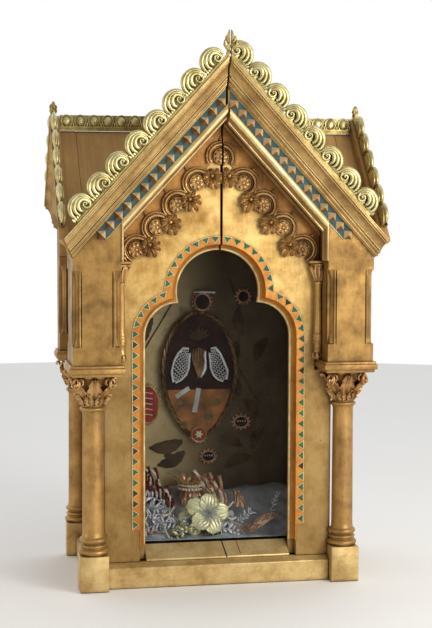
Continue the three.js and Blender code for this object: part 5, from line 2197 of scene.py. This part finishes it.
    def curls(self, stock: Stock, start: Vector, end: Vector, count: int, tall: float,
              marks: Sequence[int]) -> None:
        """A row of curled metal ribbons that stand side by side.

        Args:
            stock: the piece they are added to.
            start: the foot of the first.
            end: the foot of the last.
            count: how many there are.
            tall: how high they stand.
            marks: the numbers of their finishes, in turn.
        """
        for k in range(count):
            foot = start.lerp(end, k / max(1, count - 1))
            high = tall * self.chance.uniform(0.75, 1.1)
            lean = self.chance.uniform(-0.35, 0.35) - 0.25
            spine = [foot + Vector((lean * h + 0.12 * sin(3 * h), -d, h)) * high
                     for h, d in ((0, 0), (0.35, 0.04), (0.7, 0.02), (0.92, 0.1), (1.0, 0.22),
                                  (0.93, 0.33), (0.8, 0.33))]
            stock.leaf(spine, Vector((1, 0, -lean)), (2.0, 2.8, 3.0, 2.8, 2.4, 1.8, 0.8),
                       cup=0.45, ribs=1.0, rib=0.3, thick=0.5, across=6, mark=marks[k % len(marks)])

    def strings(self, stock: Stock) -> None:
        """Short strings of beads, and one long leaf covered with small grains.

        Args:
            stock: the piece they are added to.
        """
        for a, b in (((-112, -50, 92), (-106, -58, 60)), ((-80, -50, 92), (-70, -60, 62)),
                     ((-78, -52, 96), (-60, -44, 106)), ((-96, -56, 64), (-66, -60, 60)),
                     ((20, -48, 104), (36, -46, 112)), ((24, -50, 92), (40, -52, 88))):
            for t in shares(8):
                at = Vector(a).lerp(Vector(b), t) - UP * (4 * sin(pi * t))
                stock.dome(at, (1.8, 1.8, 1.8), 3, 8, mark=6)
        foot, tip = Vector((62, -50, 64)), Vector((110, -50, 92))
        spine = [foot.lerp(tip, t) + UP * (6 * sin(pi * t)) for t in shares(8)]
        stock.leaf(spine, Vector((-0.5, 0, 0.86)), (1.5, 4.5, 6.4, 7.2, 7.4, 7.0, 6.0, 4.2, 1.2),
                   cup=0.3, across=8, mark=1)
        for k in range(150):
            t = self.chance.uniform(0.06, 0.96)
            off = self.chance.uniform(-0.8, 0.8) * 7.0 * sin(pi * t) ** 0.6
            stock.dome(foot.lerp(tip, t) + Vector((-0.5 * off, -1.2, 0.86 * off
                                                   + 6 * sin(pi * t))),
                       (1.3, 1.3, 1.3), 2, 6, mark=1 if k % 3 else 6)

    def flowers(self) -> None:
        """The heap of flowers and leaves in front of the crown."""
        f = self.finishes
        stock = Stock()
        for at, face, petals, long, wide, mark in (
                ((-6, -52, 97), (0.05, -1, 0.3), 5, 35, 15, 0),
                ((-32, -44, 84), (-0.35, -1, 0.2), 5, 24, 10, 0),
                ((-96, -38, 100), (-0.2, -1, 0.4), 7, 20, 4, 4),
                ((30, -34, 84), (0.4, -1, 0.3), 6, 16, 5, 4),
                ((-84, -40, 74), (-0.3, -1, 0.1), 6, 17, 5, 4),
                ((-54, -50, 66), (-0.2, -1, 0.2), 5, 12, 5, 0)):
            self.flower(stock, Vector(at), Vector(face), petals, long, wide, mark)
        for foot, tip, n, long, wide, mark in (
                ((-60, -28, 92), (-114, -46, 122), 8, 12, 2.0, 4),
                ((-52, -34, 84), (-104, -52, 96), 8, 12, 1.6, 4),
                ((-40, -30, 72), (-108, -50, 72), 8, 13, 2.0, 4),
                ((-66, -40, 62), (-110, -48, 66), 5, 10, 2.0, 1),
                ((-74, -20, 100), (-114, -34, 106), 6, 11, 2.2, 5),
                ((40, -38, 70), (66, -46, 96), 7, 9, 1.6, 4),
                ((34, -44, 64), (72, -52, 70), 7, 9, 1.4, 1),
                ((98, -46, 88), (112, -44, 124), 6, 6, 1.2, 4),
                ((-20, -56, 70), (-56, -60, 64), 5, 10, 3.0, 0),
                ((6, -56, 72), (40, -60, 66), 5, 11, 2.6, 4),
                ((-18, -56, 68), (10, -60, 62), 5, 9, 2.6, 5)):
            self.sprig(stock, Vector(foot), Vector(tip), n, long, wide, mark)
        for start, end, count, tall, marks in (
                ((-116, -20, 128), (-62, -24, 112), 14, 28, (3, 6, 3, 3)),
                ((-114, -8, 142), (-78, -8, 134), 9, 30, (3, 3, 6)),
                ((-112, -32, 112), (-62, -36, 104), 10, 20, (3, 5, 3)),
                ((-4, -8, 118), (22, -14, 110), 9, 40, (1, 6, 1)),
                ((4, -18, 110), (28, -24, 102), 7, 26, (1, 1, 6)),
                ((44, -20, 100), (62, -28, 98), 5, 26, (1, 6)),
                ((-44, -34, 104), (-10, -38, 108), 8, 15, (1, 0))):
            self.curls(stock, Vector(start), Vector(end), count, tall, marks)
        self.strings(stock)
        show("metal_flowers_wired", stock.mesh("flowers"),
             [f.pale_gold, f.copper, f.wire, f.wine, f.wire, f.sprout, f.pearl],
             ["metal_flowers"], 55.0)

    def build(self) -> None:
        """Builds everything on the floor."""
        self.cloth()
        self.crown()
        self.flowers()


# ------------------------------------------------------------------ stage, light and camera


@dataclass
class Studio:
    """A pale floor and backdrop, soft lights, and the camera."""

    camera_at: tuple[float, float, float] = (-0.4207, -2.2679, 0.5835)
    yaw: float = -10.74
    pitch: float = 85.85
    roll: float = 0.16
    lens: float = 82.92
    middle: tuple[float, float, float] = (0.0, 0.0, 0.42)
    left_glow: float = 0.4
    right_glow: float = 0.75

    def camera(self) -> None:
        """Places the camera in front, a little to the left."""
        data = bpy.data.cameras.new("Camera")
        data.lens, data.sensor_width, data.clip_start = self.lens, 36.0, 0.05
        eye = in_scene("Camera", data)
        eye.matrix_world = (Matrix.Translation(self.camera_at)
                            @ Matrix.Rotation(radians(self.yaw), 4, "Z")
                            @ Matrix.Rotation(radians(self.pitch), 4, "X")
                            @ Matrix.Rotation(radians(self.roll), 4, "Z"))
        bpy.context.scene.camera = eye

    def light(self, name: str, at: Sequence[float], size: float, power: float,
              tint: str = "#FFFFFF") -> None:
        """A square soft light that points at the shrine's middle.

        Args:
            name: its name.
            at: where it stands, in metres.
            size: the length of its sides.
            power: how strong it is, in watts.
            tint: its colour.
        """
        data = bpy.data.lights.new(name, "AREA")
        data.shape, data.size, data.energy = "SQUARE", size, power
        data.color = colour(tint)[:3]
        aim = Vector(self.middle) - Vector(at)
        turn = aim.to_track_quat("-Z", "Y").to_matrix().to_4x4()
        in_scene(name, data).matrix_world = Matrix.Translation(at) @ turn

    def build(self) -> None:
        """Builds the stage, the world and the lights."""
        self.camera()
        sweep = Stock()
        rings = [[(r * cos(a), r * sin(a), -0.6) for a in turns(64)]
                 for r in (40.0, 900.0, 3200.0)]
        sweep.loft(rings, caps=False)
        sweep.add(rings[0], [tuple(range(64))])
        floor = in_scene("studio_floor", sweep.mesh("floor"))
        paper = Surface("Pale_Studio_Floor")
        cloud = paper.add("ShaderNodeTexNoise", {0: paper.place, "Scale": 2.0})
        tone = paper.layered(colour("#F4F4F3"), (cloud, "#F8F8F7"))
        paper.tree.links.new(tone, paper.shader.inputs["Base Color"])
        paper.shader.inputs["Roughness"].default_value = 0.9
        floor.data.materials.append(paper.made)
        world = bpy.data.worlds.new("Studio")
        world.use_nodes = True
        sky = world.node_tree
        way = add_node(sky, "ShaderNodeTexCoord", out="Generated")
        apart = add_node(sky, "ShaderNodeSeparateXYZ", {0: way}).node.outputs
        across = add_node(sky, "ShaderNodeMapRange",
                          {0: apart[0], 1: -0.8, 2: 0.8, 3: self.left_glow, 4: self.right_glow},
                          interpolation_type="SMOOTHSTEP")
        glow = add_node(sky, "ShaderNodeMapRange",
                        {0: apart[1], 1: -0.2, 2: 0.6, 3: across, 4: 1.0},
                        interpolation_type="SMOOTHSTEP")
        sky.nodes["Background"].inputs[0].default_value = colour("#FFFFFF")
        sky.links.new(glow, sky.nodes["Background"].inputs[1])
        bpy.context.scene.world = world
        bpy.context.scene.view_settings.view_transform = "Standard"
        self.light("Key", (1.15, -1.35, 0.95), 0.6, 14.5, "#FFFAF0")
        self.light("Fill", (-1.9, -0.35, 0.6), 0.8, 5.0, "#FFE9CC")
        self.light("Softbox", (1.0, -2.45, 0.65), 0.8, 13.0, "#FFFCF6")


def main() -> None:
    """Builds the shrine, piece by piece, and logs each piece's faces."""
    logging.basicConfig(level=logging.INFO, format="%(message)s")
    finishes = Finishes()
    setter = Setter()
    Studio().build()
    joinery = Joinery(finishes)
    joinery.build()
    joinery.cracks()
    Columns(finishes).build()
    Capitals(finishes).build()
    Piers(finishes).build()
    OpeningBorder(finishes, setter).build()
    GableFront(finishes, setter).build()
    LeafTrim(finishes, setter).build()
    Arcade(finishes, setter).build()
    Colonnettes(finishes).build()
    Medallion(finishes).build()
    Capsules(finishes).build()
    FloorOffering(finishes).build()


if __name__ == "__main__":
    main()
